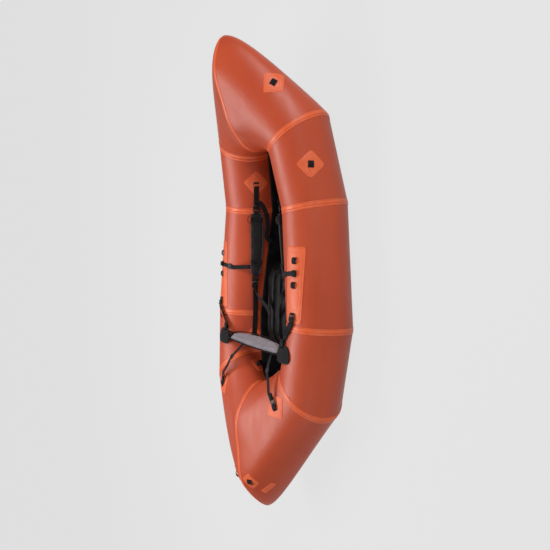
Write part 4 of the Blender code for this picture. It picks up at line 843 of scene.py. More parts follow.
patchValues = {
    "gap": 0.0008, "thick": 0.0010, "wall": 0.0006, "sides": 96, "gather": 0.19, "corner": 7.0, "sideCorner": 18.0,
    "diamond": 0.046, "deck": 0.045, "rear": 0.050, "rearDiamond": 0.037, "sideLong": 0.172, "sideWide": 0.052,
    "tipShare": 0.8, "wave": 0.00025, "foot": 0.3,
    "profile": ((0.04, 1.0), (0.2, 1.0), (0.35, 1.0), (0.48, 1.0), (0.585, 1.0), (0.60, 0.75), (0.612, 0.75),
                (0.628, 1.0), (0.70, 1.0), (0.78, 1.0), (0.85, 1.0), (0.868, 0.6), (0.885, 0.6), (0.903, 1.0),
                (0.94, 1.0), (0.975, 0.95), (0.99, 0.7), (1.0, 0.0)),
}

padValues = {
    "long": 0.31, "wide": 0.060, "thick": 0.011, "sag": 0.006, "ahead": 0.150, "lockGap": 0.006, "lift": 0.012,
    "rearAt": 0.015,
    "shares": (0.80, 0.96, 1.0, 1.0, 0.98, 0.93, 0.88, 0.84, 0.66), "tabIn": 0.022, "tabR": 0.0034, "tabApart": 3.2,
    "rows": 40, "around": 24, "shrink": 0.86, "endShare": 0.96, "square": 3, "cap": 0.003, "pressure": 4.0,
    "voxel": 0.004, "border": 0.0075, "pinch": (0.0016, 0.0022), "bindingR": 0.0034, "bandsAt": (0.10, 0.80),
    "bandHalf": 0.0105, "bandOff": 0.0016, "bandThick": 0.0012, "buckleAt": 0.80, "buckleLong": 0.026,
    "buckleOff": 0.0052, "loopAt": 0.10, "loop": (0.002, 0.016, 0.020), "loopWide": 0.012, "loopThick": 0.0022,
    "webbing": 0.025, "narrow": 0.020, "bindingIn": 0.0006, "threadOff": 0.0002, "fill": 0.7,
    "bandFlat": 1.6, "bandPower": 0.35, "bandReach": 1.06, "buckleShare": 0.72, "buckleSlotShare": 0.60,
}

loopValues = {
    "length": 0.025, "width": 0.026, "high": 0.0066, "foot": 0.10, "thick": 0.0014, "sink": 0.0009, "power": 0.7,
    "points": 17, "off": 0.0002, "keeperOff": 0.0005, "keeperEase": 1.12, "keeperSink": 0.3,
    "sideLoops": (0.109, 0.052, 0.0), "sideHigh": 0.0062, "lockPlace": -0.128, "deckTurn": math.radians(-30),
    "hook": {"length": 0.030, "high": 0.0075}, "thighRear": {"length": 0.036, "width": 0.018, "high": 0.0046},
}


class Place:
    # a spot on the hull with its own axes: ahead, across and out of the cloth
    def __init__(self, spot, turn=0.0):
        self.zone, self.u, self.phi = spot
        self.origin = skin(*spot)
        self.out = skinNormal(*spot)
        ahead = unit(np.array([1.0, 0.0, 0.0]) - self.out * self.out[0])
        across = np.cross(self.out, ahead)
        self.ahead = math.cos(turn) * ahead + math.sin(turn) * across
        self.across = np.cross(self.out, self.ahead)

    def at(self, x, y, z):
        return self.origin + x * self.ahead + y * self.across + z * self.out

    def onSkin(self, x, y, gap):
        # the cloth below a local point, by Newton steps
        x, y = np.broadcast_arrays(np.asarray(x, float), np.asarray(y, float))
        u, phi, step = np.full(x.shape, self.u), np.full(x.shape, self.phi), 0.001
        for _ in range(6):
            here = skin(self.zone, u, phi)
            missX = (here - self.origin) @ self.ahead - x
            missY = (here - self.origin) @ self.across - y
            du = (skin(self.zone, u + step, phi) - here) / step
            dp = (skin(self.zone, u, phi + step) - here) / step
            a, b, c, d = du @ self.ahead, dp @ self.ahead, du @ self.across, dp @ self.across
            det = a * d - b * c
            u = u - (d * missX - b * missY) / det
            phi = phi - (a * missY - c * missX) / det
        return skin(self.zone, u, phi) + np.asarray(gap, float)[..., None] * skinNormal(self.zone, u, phi)


patchTop = patchValues["gap"] + patchValues["thick"]
loopBase = patchTop + loopValues["thick"] / 2 - loopValues["sink"]


def weldPatch(name, place, halfLong, halfWide, corner=patchValues["corner"]):
    # die-cut film: rolled edge, a pressed border and a second pressed line further in
    v = patchValues
    t = 2 * math.pi * np.arange(v["sides"]) / v["sides"]
    t = t + v["gather"] * np.sin(4 * t)                # more points at the corners
    c, s = np.cos(t), np.sin(t)
    reach = (np.abs(c) ** corner + np.abs(s) ** corner) ** (-1 / corner)
    low = v["gap"] * v["foot"]
    rows = []
    for share, high in v["profile"]:
        x, y = halfLong * c * reach * share, halfWide * s * reach * share
        waves = v["wave"] * np.sin(170 * x + 60 * y) * np.sin(130 * y - 50 * x) * min(1.0, 6 * (1 - share))
        rows.append(place.onSkin(x, y, low + (patchTop - low) * high + waves))

    def closeMiddle(work):
        work.verts.ensure_lookup_table()
        work.faces.new([work.verts[k] for k in range(v["sides"])]).smooth = True

    piece = reworked(gridPiece(name, rows, "patch", closedCols=True), closeMiddle)
    faceAlong(piece, lambda c: place.out)
    return walled(piece, v["wall"])


def loopPath(place, x, length, high, base):
    # a webbing loop sewn down at both feet
    path, count = [], loopValues["points"]
    for k in range(count):
        t = math.pi * (1 - k / (count - 1))
        foot = place.onSkin(x + length / 2 * math.cos(t), 0.0, base)
        path.append(foot + place.out * high * abs(math.sin(t)) ** loopValues["power"])
    far = length / 2 + length * loopValues["foot"]
    return [place.onSkin(x - far, 0.0, base)] + path + [place.onSkin(x + far, 0.0, base)]


def webLoop(name, place, x=0.0, length=loopValues["length"], width=loopValues["width"], high=loopValues["high"]):
    path = loopPath(place, x, length, high, loopBase + loopValues["sink"] + loopValues["off"])
    return strap(name, path, place.across, width, loopValues["thick"])


barHalf = 0.00175
barClear = 0.0004
wireR = 0.0016
lockThick = 0.003
barR = math.hypot(barHalf, lockThick / 2)


def barLift(radius):
    return patchTop + barClear + radius


def keeperLoop(name, place, x, radius):
    v = loopValues
    reach = radius + hullValues["weldGap"] + v["thick"] / 2 + v["keeperOff"]
    high = barClear + radius + reach - v["thick"] / 2 + v["sink"]
    path = loopPath(place, x, 2 * reach * v["keeperEase"], high, loopBase + v["sink"] * v["keeperSink"])
    return strap(name, path, place.across, padValues["webbing"], v["thick"])


def turnRound(centre, ahead, out, radius, first, last, count):
    angles = [math.radians(first + (last - first) * k / (count - 1)) for k in range(count)]
    return [centre + radius * (math.cos(t) * ahead + math.sin(t) * out) for t in angles]


sternPlace = Place(placeValues["stern"])
rearVia = [np.array(p) * mirror for p in ((-0.405, 0.185, 0.330), (-0.455, 0.214, 0.341))]
hookAim = rearVia[-1] - sternPlace.origin
hookTurn = math.atan2(hookAim @ sternPlace.across, hookAim @ sternPlace.ahead)


trimValues = {
    "crotch": {"spot": ("stern", 0.50, math.radians(181)), "long": 0.032, "wide": 0.042, "tab": 0.030, "high": 0.016},
    "bar": {"spot": ("stern", 0.73, math.radians(23)), "turn": math.radians(-38), "long": 0.048, "wide": 0.0135,
            "corner": 9.0},
}


def hullTrim(v):
    # lashing tabs inside the stern crotch, and a bare film bar on the stern tip
    row = v["crotch"]
    place = Place(row["spot"], math.pi / 2)
    settleBoth(weldPatch("crotch_patch_film_s", place, row["long"], row["wide"]), "hull", "weld_tape")
    settleBoth(webLoop("crotch_tab_loop_s", place, length=row["tab"], width=padValues["webbing"], high=row["high"]),
               "hull", "webbing")
    row = v["bar"]
    place = Place(row["spot"], row["turn"])
    settleBoth(weldPatch("stern_bar_film_s", place, row["long"], row["wide"], row["corner"]), "hull", "weld_tape")


def hullPatches(v, loops):
    quarter = math.pi / 4
    # name and place, the patch's turn and half width, the loop's turn and sizes
    rows = (("deck", "deck", 0.0, v["deck"], loops["deckTurn"], {}),
            ("front", "front", quarter, v["diamond"], 0.0, {}),
            ("tip", "tip", quarter, v["diamond"] * v["tipShare"], 0.0, {}),
            ("stern", "stern", 0.0, v["rear"], hookTurn, loops["hook"]),
            ("thigh", "thigh", quarter, v["diamond"], 0.0, None),
            ("thigh_rear", "thighRear", quarter, v["rearDiamond"], math.pi / 2, loops["thighRear"]))
    for name, spot, turn, half, loopTurn, sizes in rows:
        patch = weldPatch(name + "_patch_s", Place(placeValues[spot], turn), half, half)
        settleBoth(patch, "hull", "weld_tape", [name + "_anchor_s"])
        place = Place(placeValues[spot], loopTurn)
        if sizes is None:
            loop = keeperLoop(name + "_keeper_s", place, 0.0, wireR)
        else:
            loop = webLoop(name + "_loop_s", place, **sizes)
        settleBoth(loop, "hull", "webbing")
    side = Place(placeValues["side"])
    settleBoth(weldPatch("side_patch_film_s", side, v["sideLong"], v["sideWide"], v["sideCorner"]),
               "hull", "weld_tape", ["side_patch_s"])
    for k, x in enumerate(loops["sideLoops"]):
        settleBoth(webLoop(f"side_loop_{k + 1}_s", side, x, high=loops["sideHigh"]), "hull", "webbing")
    settleBoth(keeperLoop("side_keeper_s", side, loops["lockPlace"], barR), "hull", "webbing")


hullPatches(patchValues, loopValues)
hullTrim(trimValues)
print("patches and loops made")


# Floor

floorValues = {
    "z": 0.012, "close": 0.7, "wrinkle": 0.0022, "clear": 0.0003, "middleGap": 0.0004,
    "edges": {"bow": (188, 195), "front": (188, 187), "mid": (187, 177), "rear": (177, 178), "stern": (178, 190)},
    "section": ((1.0, 1.0), (1.0, 0.55), (0.985, 0.25), (0.94, 0.07), (0.85, 0.0), (0.43, 0.0), (0.0, 0.0)),
    "stations": (("bow", 1.0, 0.0, 26), ("front", 0.08, 1.0, 12), ("mid", 0.06, 0.94, 24), ("rear", 0.0, 0.92, 12),
                 ("stern", 0.0, 1.0, 26)),
    "flat": (-0.38, 0.08, 0.12, 0.15), "flatHalf": 0.14,
}


def floorSheet(v):
    gap = 2 * hullValues["weldGap"] + hullValues["fabric"] + v["clear"] + hullValues["fabric"] / 2
    stations = [(zone, u) for zone, first, last, count in v["stations"] for u in np.linspace(first, last, count)]
    side = smoothPath([np.array([a, b, 0.0]) for a, b in v["section"]], 6)
    rows = []
    for zone, u in stations:
        edge = math.radians(v["edges"][zone][0] * (1 - u) + v["edges"][zone][1] * u)
        x, y, z = skin(zone, u, edge) + gap * skinNormal(zone, u, edge)
        closing = 0.0
        if zone in ("bow", "stern"):
            closing = max(0.0, (u - 1 + v["close"]) / v["close"]) ** 2
            y = min(y, -v["middleGap"])
        low = v["z"] + (z - v["z"]) * closing
        half = [np.array([x, a * y, low + max(b, 0.0) * (z - low)]) for a, b, _ in side]
        rows.append(half + [p * mirror for p in reversed(half[:-1])])
    rows = np.array(rows)
    # creases where the sheet is gathered toward bow and stern, flat under the seat
    x, y = rows[..., 0], rows[..., 1]
    aft, aftFade, fore, foreFade = v["flat"]
    loose = np.clip((x - fore) / foreFade, 0, 1) + np.clip((aft - x) / aftFade, 0, 1)
    inner = np.clip(1 - np.abs(y) / v["flatHalf"], 0, 1)
    waves = (np.sin(31 * x + 9 * np.sin(7 * y)) * np.sin(24 * y + 1.1 + 5 * np.sin(6 * x))
             + 0.6 * np.sin(67 * y + 19 * x) * np.sin(23 * x + 2))
    rows[..., 2] += v["wrinkle"] * (0.6 + waves) * loose * inner
    piece = gridPiece("floor_cloth", rows, "floor")
    faceAlong(piece, lambda c: upward)
    walled(piece, hullValues["fabric"], 0.0)
    settle(piece, "hull", "floor_fabric", ["floor_sheet"])


floorSheet(floorValues)
print("floor made")


# Air and foam: cloth simulation

airFrames = 20


def inflated(piece, cap, pressure, voxel, hold=None):
    # remeshes the form, lets the cloth swell under pressure, then caps how far each point moved
    remesh = piece.modifiers.new("evenMesh", "REMESH")
    remesh.mode = "VOXEL"
    remesh.voxel_size = voxel
    remesh.use_smooth_shade = True
    applied(piece)
    air = piece.modifiers.new("air", "CLOTH")
    air.settings.use_pressure = True
    air.settings.uniform_pressure_force = pressure
    air.settings.effector_weights.gravity = 0.0
    air.point_cache.frame_start = 1
    air.point_cache.frame_end = airFrames
    for f in range(1, airFrames + 1):
        scene.frame_set(f)
    rest = gathered(piece.data.vertices, "co")
    swollen = piece.evaluated_get(bpy.context.evaluated_depsgraph_get()).data.vertices
    move = gathered(swollen, "co") - rest
    far = np.linalg.norm(move, axis=1, keepdims=True)
    move *= np.minimum(1.0, cap / np.maximum(far, 1e-9))
    if hold is not None:
        move *= hold(rest)[:, None]
    piece.modifiers.remove(air)
    piece.data.vertices.foreach_set("co", (rest + move).ravel())
    scene.frame_set(1)
    fine = piece.modifiers.new("fine", "SUBSURF")
    fine.levels = 1
    fine.render_levels = 1
    applied(piece)
    piece.data.shade_smooth()
    return piece


def cadCopy(nodeName, name, cloth):
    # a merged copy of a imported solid, to work on
    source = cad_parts[nodeName]
    mesh = source.data.copy()
    mesh.materials.clear()
    mesh.materials.append(cloths[cloth])
    piece = linked(name, mesh)
    mesh.name = name
    return closedOut(piece, mergeWide)


def setPoints(piece, co):
    piece.data.vertices.foreach_set("co", co.astype(np.float32).ravel())
    piece.data.update()


seatValues = {
    "high": 0.135, "rim": 0.42, "channels": 5, "valve": (-0.315, -0.096), "cap": 0.007, "pressure": 4.0,
    "voxel": 0.006, "groove": 0.0075, "grooveHalf": 0.006, "pucker": 0.0032, "puckerHalf": 0.030, "swell": 0.16,
    "spread": 0.02, "rimHold": 0.35, "ripple": 0.0012, "rippleHalf": 0.012, "drawn": 0.0022, "drawnFrom": 0.80,
    "overSide": 0.014, "fill": 0.9, "underRim": 0.01, "overFloor": 0.0006, "topFrom": 1.6,
    "holdFade": (0.018, 0.03), "swellFade": (0.022, 0.07), "reliefFade": (0.02, 0.03), "edgeFade": (0.72, 0.28),
    "folds": ((46, 0.0, 0.6), (71, 1.0, 0.4)), "channelEnd": (0.88, 0.2), "puckerShares": (0.55, 0.6),
    "rippleWaves": (90, 6, 30), "drawnWaves": (115, 3, 40), "drawnFade": 0.15,
}


def faded(value, start, width):
    return np.clip((value - start) / width, 0, 1)


def wandering(first, second, waves):
    # a wave along one axis that sways with the other
    count, sway, slow = waves
    return np.sin(count * first + sway * np.sin(slow * second))


def seatCushion(v):
    piece = cadCopy("seat_cushion", "seat_air_cushion", "seat")
    low, high = (np.array(p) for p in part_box("seat_cushion"))
    middle, half = (low + high) / 2, (high - low) / 2
    rimZ = low[2] + v["high"] * v["rim"]

    def fromValve(co):
        return np.hypot(co[:, 0] - v["valve"][0], co[:, 1] - v["valve"][1])

    def hold(rest):
        under = rest[:, 2] < rimZ - v["underRim"]
        return faded(fromValve(rest), *v["holdFade"]) * np.where(under, v["rimHold"], 1.0)

    inflated(piece, v["cap"], v["pressure"], v["voxel"], hold)
    co = gathered(piece.data.vertices, "co")
    # air lifts the cushion a little over its packed form, least beside the inflation valve
    free = faded(fromValve(co), *v["swellFade"])
    free = free * free * (3 - 2 * free)
    co[:, 2] += (co[:, 2] - low[2]) * v["swell"] * free
    co[:, 1] += (co[:, 1] - middle[1]) * v["spread"] * free
    setPoints(piece, co)
    normal = gathered(piece.data.vertex_normals, "vector")
    w = (co[:, 1] - middle[1]) / half[1]
    s = (co[:, 0] - middle[0]) / half[0]
    top = np.clip(normal[:, 2] * v["topFrom"], 0, 1)
    lines = [-1 + 2 * k / v["channels"] for k in range(1, v["channels"])]
    near = np.min([np.abs(w - k) for k in lines], axis=0) * half[1]
    ends, ease = v["channelEnd"]
    sink = v["groove"] * np.exp(-(near / v["grooveHalf"]) ** 2) * top * np.clip((ends - np.abs(s)) / ease, 0, 1)
    # gathers run in from the welded rim, strongest at the front edge
    rimNear = np.exp(-((co[:, 2] - rimZ) / v["puckerHalf"]) ** 2)
    turn = np.arctan2(w, s)
    folds = sum(np.sin(count * turn + start) * share for count, start, share in v["folds"])
    edge = faded(np.maximum(np.abs(s), np.abs(w)), *v["edgeFade"])
    least, front = v["puckerShares"]
    pucker = v["pucker"] * folds * rimNear * edge * (least + front * np.clip(s, 0, 1))
    ripple = v["ripple"] * wandering(co[:, 0], co[:, 1], v["rippleWaves"]) * top
    ripple = ripple * np.exp(-(near / v["rippleHalf"]) ** 2)
    # the front edge is drawn in where it is welded down
    drawn = v["drawn"] * wandering(co[:, 1], co[:, 0], v["drawnWaves"])
    ripple += drawn * faded(s, v["drawnFrom"], v["drawnFade"]) * top
    co = co + normal * ((pucker - sink + ripple) * faded(fromValve(co), *v["reliefFade"]))[:, None]
    co[:, 2] = np.maximum(co[:, 2], floorValues["z"] + v["overFloor"])
    sides = half[1] + v["overSide"]
    co[:, 1] = np.clip(co[:, 1], -sides, sides)
    setPoints(piece, co)
    settle(piece, "hull", "seat_fabric", ["seat_cushion"])


seatCushion(seatValues)
print("seat made")


# Ladder locks, rings, hooks and their straps

lockValues = {
    "long": 0.034, "wide": 0.033, "corner": 0.005, "slotWide": 0.0262, "slotLong": 0.0062, "slotCorner": 0.0006,
    "fixedSlot": 0.0056, "thick": lockThick, "tilt": math.radians(13), "turn": 0.0075, "over": 0.0030,
    "under": 0.0026, "lipLong": 0.009, "lipRise": math.radians(24), "lipShare": 0.8, "edge": 0.0004,
    "ribs": (0.40, 0.60, 0.80), "ribHalf": 0.0005, "ribWide": 0.7, "ribHigh": 0.0008, "ribEdge": 0.0002,
    "ribCorner": 0.0004, "sharp": math.radians(50),
}

glideValues = {
    "wide": 0.028, "long": 0.020, "corner": 0.003, "slots": (-0.0052, 0.0016), "slotWide": 0.0222,
    "slotLong": 0.0036, "slotCorner": 0.0006, "thick": 0.0030, "edge": 0.0004,
}

endBar = 2 * barHalf
fixedSlot = (endBar, endBar + lockValues["fixedSlot"])
firstSlot = (fixedSlot[1] + endBar, fixedSlot[1] + endBar + lockValues["slotLong"])
secondSlot = (firstSlot[1] + endBar, firstSlot[1] + endBar + lockValues["slotLong"])
centreBar = firstSlot[1] + barHalf
strapFar = lockValues["long"] + lockValues["slotLong"]


def roundedBox(long0, long1, wide, corner, steps=6):
    pts = []
    for k, (cx, cy) in enumerate(((long1 - corner, wide / 2 - corner), (long0 + corner, wide / 2 - corner),
                                  (long0 + corner, corner - wide / 2), (long1 - corner, corner - wide / 2))):
        for j in range(steps + 1):
            t = math.pi / 2 * (k + j / steps)
            pts.append((cx + corner * math.cos(t), cy + corner * math.sin(t)))
    return pts


def moulding(name, outlines, thickness, edge, cloth="plastic"):
    # a flat moulding with holes and eased edges
    curve = bpy.data.curves.new(name, "CURVE")
    curve.dimensions = "2D"
    curve.fill_mode = "BOTH"
    curve.bevel_depth = edge
    curve.bevel_resolution = 1
    curve.offset = -edge
    curve.extrude = thickness / 2 - edge
    for outline in outlines:
        line = curve.splines.new("POLY")
        line.points.add(len(outline) - 1)
        for point, (x, y) in zip(line.points, outline):
            point.co = (x, y, 0.0, 1.0)
        line.use_cyclic_u = True
    work = linked(name + "_outline", curve)
    mesh = evaluated(work)
    bpy.data.objects.remove(work, do_unlink=True)
    mesh.materials.clear()
    mesh.materials.append(cloths[cloth])
    mesh.name = name
    piece = linked(name, mesh)
    closedOut(piece, mergeWide)
    mesh.shade_smooth()
    mesh.set_sharp_from_angle(angle=lockValues["sharp"])
    return piece


def together(name, parts):
    # one mesh from several parts
    work = bmesh.new()
    for part in parts:
        work.from_mesh(part.data)
    mesh = bpy.data.meshes.new(name)
    work.to_mesh(mesh)
    work.free()
    for slotMaterial in parts[0].data.materials:
        mesh.materials.append(slotMaterial)
    for part in parts:
        bpy.data.objects.remove(part, do_unlink=True)
    return linked(name, mesh)


def ladderLock(name, matrix):
    # frame with three bars and a ribbed thumb lip
    v = lockValues
    slots = [roundedBox(a, b, v["slotWide"], v["slotCorner"], 2) for a, b in (fixedSlot, firstSlot, secondSlot)]
    outline = roundedBox(0.0, v["long"], v["wide"], v["corner"])
    body = moulding(name + "_frame", [outline] + slots, v["thick"], v["edge"])
    lipWide = v["wide"] - 2 * v["corner"]
    tilt = Matrix.Translation((v["long"] - v["corner"], 0.0, 0.0)) @ Matrix.Rotation(-v["lipRise"], 4, "Y")
    lip = placed(moulding(name + "_lip", [roundedBox(0.0, v["lipLong"], lipWide, v["slotLong"] / 2)],
                          v["thick"] * v["lipShare"], v["edge"]), tilt)
    parts = [body, lip]
    lift = Matrix.Translation((0, 0, v["thick"] * v["lipShare"] / 2 + v["ribEdge"]))
    for k, share in enumerate(v["ribs"]):
        x = v["lipLong"] * share
        outline = roundedBox(x - v["ribHalf"], x + v["ribHalf"], lipWide * v["ribWide"], v["ribCorner"], 2)
        rib = moulding(name + f"_rib{k}", [outline], v["ribHigh"], v["ribEdge"])
        parts.append(placed(rib, tilt @ lift))
    return placed(together(name, parts), matrix)


def triGlide(name, matrix, **sizes):
    v = {**glideValues, **sizes}
    outline = roundedBox(-v["long"] / 2, v["long"] / 2, v["wide"], v["corner"])
    slots = [roundedBox(a, a + v["slotLong"], v["slotWide"], v["slotCorner"], 2) for a in v["slots"]]
    return placed(moulding(name, [outline] + slots, v["thick"], v["edge"]), matrix)


def matrixOf(ahead, across, out, origin):
    rows = np.array([ahead, across, out, origin]).T
    return Matrix([list(map(float, row)) for row in rows] + [[0, 0, 0, 1]])


def axesOf(matrix):
    return [np.array(matrix.col[k][:3]) for k in range(4)]


def weave(matrix, far):
    # strap centre line through a ladder lock: in below, round the middle bar and out under the lip
    v, c, thick = lockValues, centreBar, loopValues["thick"]
    back = v["under"] + thick + 2 * hullValues["weldGap"]
    steps = [(far, -back), (c + v["turn"], -back), (c - v["turn"] * 0.4, -back),
             (c - v["turn"] * 0.78, -v["over"]), (c - v["turn"] * 0.78, thick / 2),
             (c - v["turn"] * 0.3, v["over"]), (c + v["turn"] * 0.3, v["over"]),
             (c + v["turn"], -v["under"]), (far, -v["under"])]
    return [np.array(matrix @ Vector((x, 0.0, z))) for x, z in steps]


def thighFrame():
    front, rear = Place(placeValues["thigh"]), Place(placeValues["thighRear"])
    start = front.at(0.0, 0.0, barLift(wireR))
    end = rear.at(padValues["rearAt"], 0.0, patchTop + 2 * hullValues["weldGap"] + loopValues["thick"] / 2)
    along = unit(end - start)
    rise = unit(front.across - along * (front.across @ along))
    rise = rise if rise[2] > 0 else -rise
    return start, along, rise, np.cross(along, rise)


def padPoint(t):
    v = padValues
    start, along, rise, out = thighFrame()
    return (start + along * (v["ahead"] + v["long"] * t) + out * v["lift"]
            - rise * v["sag"] * (1 - (2 * t - 1) ** 2))


def padHalf(t):
    shares = padValues["shares"]
    return padValues["wide"] / 2 * np.interp(t * (len(shares) - 1), range(len(shares)), shares)


def thighLock(front=True):
    v = padValues
    start, along, _, out = thighFrame()
    reach = v["ahead"] - v["lockGap"] if front else v["ahead"] + v["long"] + v["lockGap"]
    away = -along if front else along
    return matrixOf(away, np.cross(out, away), out, start + along * reach + out * v["lift"])


def sideLock():
    place = Place(placeValues["side"])
    v = lockValues
    aft = -math.cos(v["tilt"]) * place.ahead + math.sin(v["tilt"]) * place.out
    across = -place.across
    base = place.at(loopValues["lockPlace"], 0.0, barLift(barR)) - aft * barHalf
    return matrixOf(aft, across, np.cross(aft, across), base)


# Geometry Nodes: thread runs and bound edges

def emptyTree(name, sockets):
    tree = bpy.data.node_groups.new(name, "GeometryNodeTree")
    for label, kind, value in (("Geometry", "Geometry", None), *sockets):
        made = tree.interface.new_socket(label, in_out="INPUT", socket_type="NodeSocket" + kind)
        if value is not None:
            made.default_value = value
    tree.interface.new_socket("Geometry", in_out="OUTPUT", socket_type="NodeSocketGeometry")
    given = tree.nodes.new("NodeGroupInput").outputs
    line = node(tree, "GeometryNodeMeshToCurve", {0: given["Geometry"]})
    return tree, given, tree.nodes.new("NodeGroupOutput"), line


def stitchTree():
    # a row of thread stitches along every edge run of the mesh
    tree, given, sent, line = emptyTree("stitchRun", (
        ("Stitch pitch", "Float", 0.0032), ("Stitch length", "Float", 0.0022), ("Thread radius", "Float", 0.00035),
        ("Seed", "Int", 7), ("Thread", "Material", None)))
    even = node(tree, "GeometryNodeResampleCurve", {"Curve": line.outputs[0], "Length": given["Stitch pitch"]},
                mode="LENGTH")
    tangent = node(tree, "GeometryNodeInputTangent")
    rotation = node(tree, "FunctionNodeAlignRotationToVector", {"Vector": tangent.outputs[0]}, axis="Z")
    bead = node(tree, "GeometryNodeMeshCylinder", {"Vertices": 6, "Radius": given["Thread radius"],
                                                   "Depth": given["Stitch length"]})
    jitter = node(tree, "FunctionNodeRandomValue", {2: 0.85, 3: 1.1, "Seed": given["Seed"]}, data_type="FLOAT")
    laid = node(tree, "GeometryNodeInstanceOnPoints", {"Points": even.outputs[0], "Instance": bead.outputs[0],
                                                       "Rotation": rotation.outputs[0], "Scale": jitter.outputs[1]})
    real = node(tree, "GeometryNodeRealizeInstances", {0: laid.outputs[0]})
    dressed = node(tree, "GeometryNodeSetMaterial", {"Geometry": real.outputs[0], "Material": given["Thread"]})
    tree.links.new(dressed.outputs[0], sent.inputs[0])
    return tree


def bindingTree():
    # a bound edge: a round roll that follows the run
    tree, given, sent, line = emptyTree("boundEdge", (("Roll radius", "Float", 0.003), ("Cloth", "Material", None)))
    section = node(tree, "GeometryNodeCurvePrimitiveCircle", {"Resolution": 10, "Radius": given["Roll radius"]})
    roll = node(tree, "GeometryNodeCurveToMesh", {"Curve": line.outputs[0], "Profile Curve": section.outputs[0],
                                                  "Fill Caps": True})
    real = node(tree, "GeometryNodeRealizeInstances", {0: roll.outputs[0]})
    dressed = node(tree, "GeometryNodeSetMaterial", {"Geometry": real.outputs[0], "Material": given["Cloth"]})
    smooth = node(tree, "GeometryNodeSetShadeSmooth", {0: dressed.outputs[0]})
    tree.links.new(smooth.outputs[0], sent.inputs[0])
    return tree


trees = {"stitch": stitchTree(), "binding": bindingTree()}


def grown(name, runs, treeName, inputs):
    # runs the tree on polylines and keeps a plain mesh
    verts, edges = [], []
    for run, closed in runs:
        start = len(verts)
        verts += [tuple(map(float, p)) for p in run]
        edges += [(start + k, start + k + 1) for k in range(len(run) - 1)]
        if closed:
            edges.append((start + len(run) - 1, start))
    mesh = bpy.data.meshes.new(name + "_run")
    mesh.from_pydata(verts, edges, [])
    work = linked(name + "_run", mesh)
    tree = trees[treeName]
    mod = work.modifiers.new("maker", "NODES")
    mod.node_group = tree
    for item in tree.interface.items_tree:
        if item.item_type == "SOCKET" and item.in_out == "INPUT" and item.name in inputs:
            mod[item.identifier] = inputs[item.name]
    made = evaluated(work)
    bpy.data.objects.remove(work, do_unlink=True)
    made.name = name
    return linked(name, made)


stitchValues = {"Stitch pitch": 0.0034, "Stitch length": 0.0024, "Thread radius": 0.00038, "Seed": 7}


def stitches(name, runs, thread="thread"):
    return grown(name, runs, "stitch", {**stitchValues, "Thread": cloths[thread]})


def bound(name, run, closed, radius, cloth):
    return grown(name, [(run, closed)], "binding", {"Roll radius": radius, "Cloth": cloths[cloth]})


# Thigh straps

def tabPath(matrix):
    v, thick = padValues, loopValues["thick"]
    ahead, across, out, base = axesOf(matrix)
    bar = base + ahead * barHalf
    turn = turnRound(bar, ahead, out, v["tabR"], 90, -90, 13)
    inside = [bar - ahead * v["tabIn"] + out * side * thick for side in (v["tabApart"], -v["tabApart"])]
    return [inside[0]] + turn + [inside[1]], across


def squared(angle, power):
    # cosine, sine and reach of a point on a squared circle
    c, s = math.cos(angle), math.sin(angle)
    return c, s, (abs(c) ** power + abs(s) ** power) ** (-1 / power)


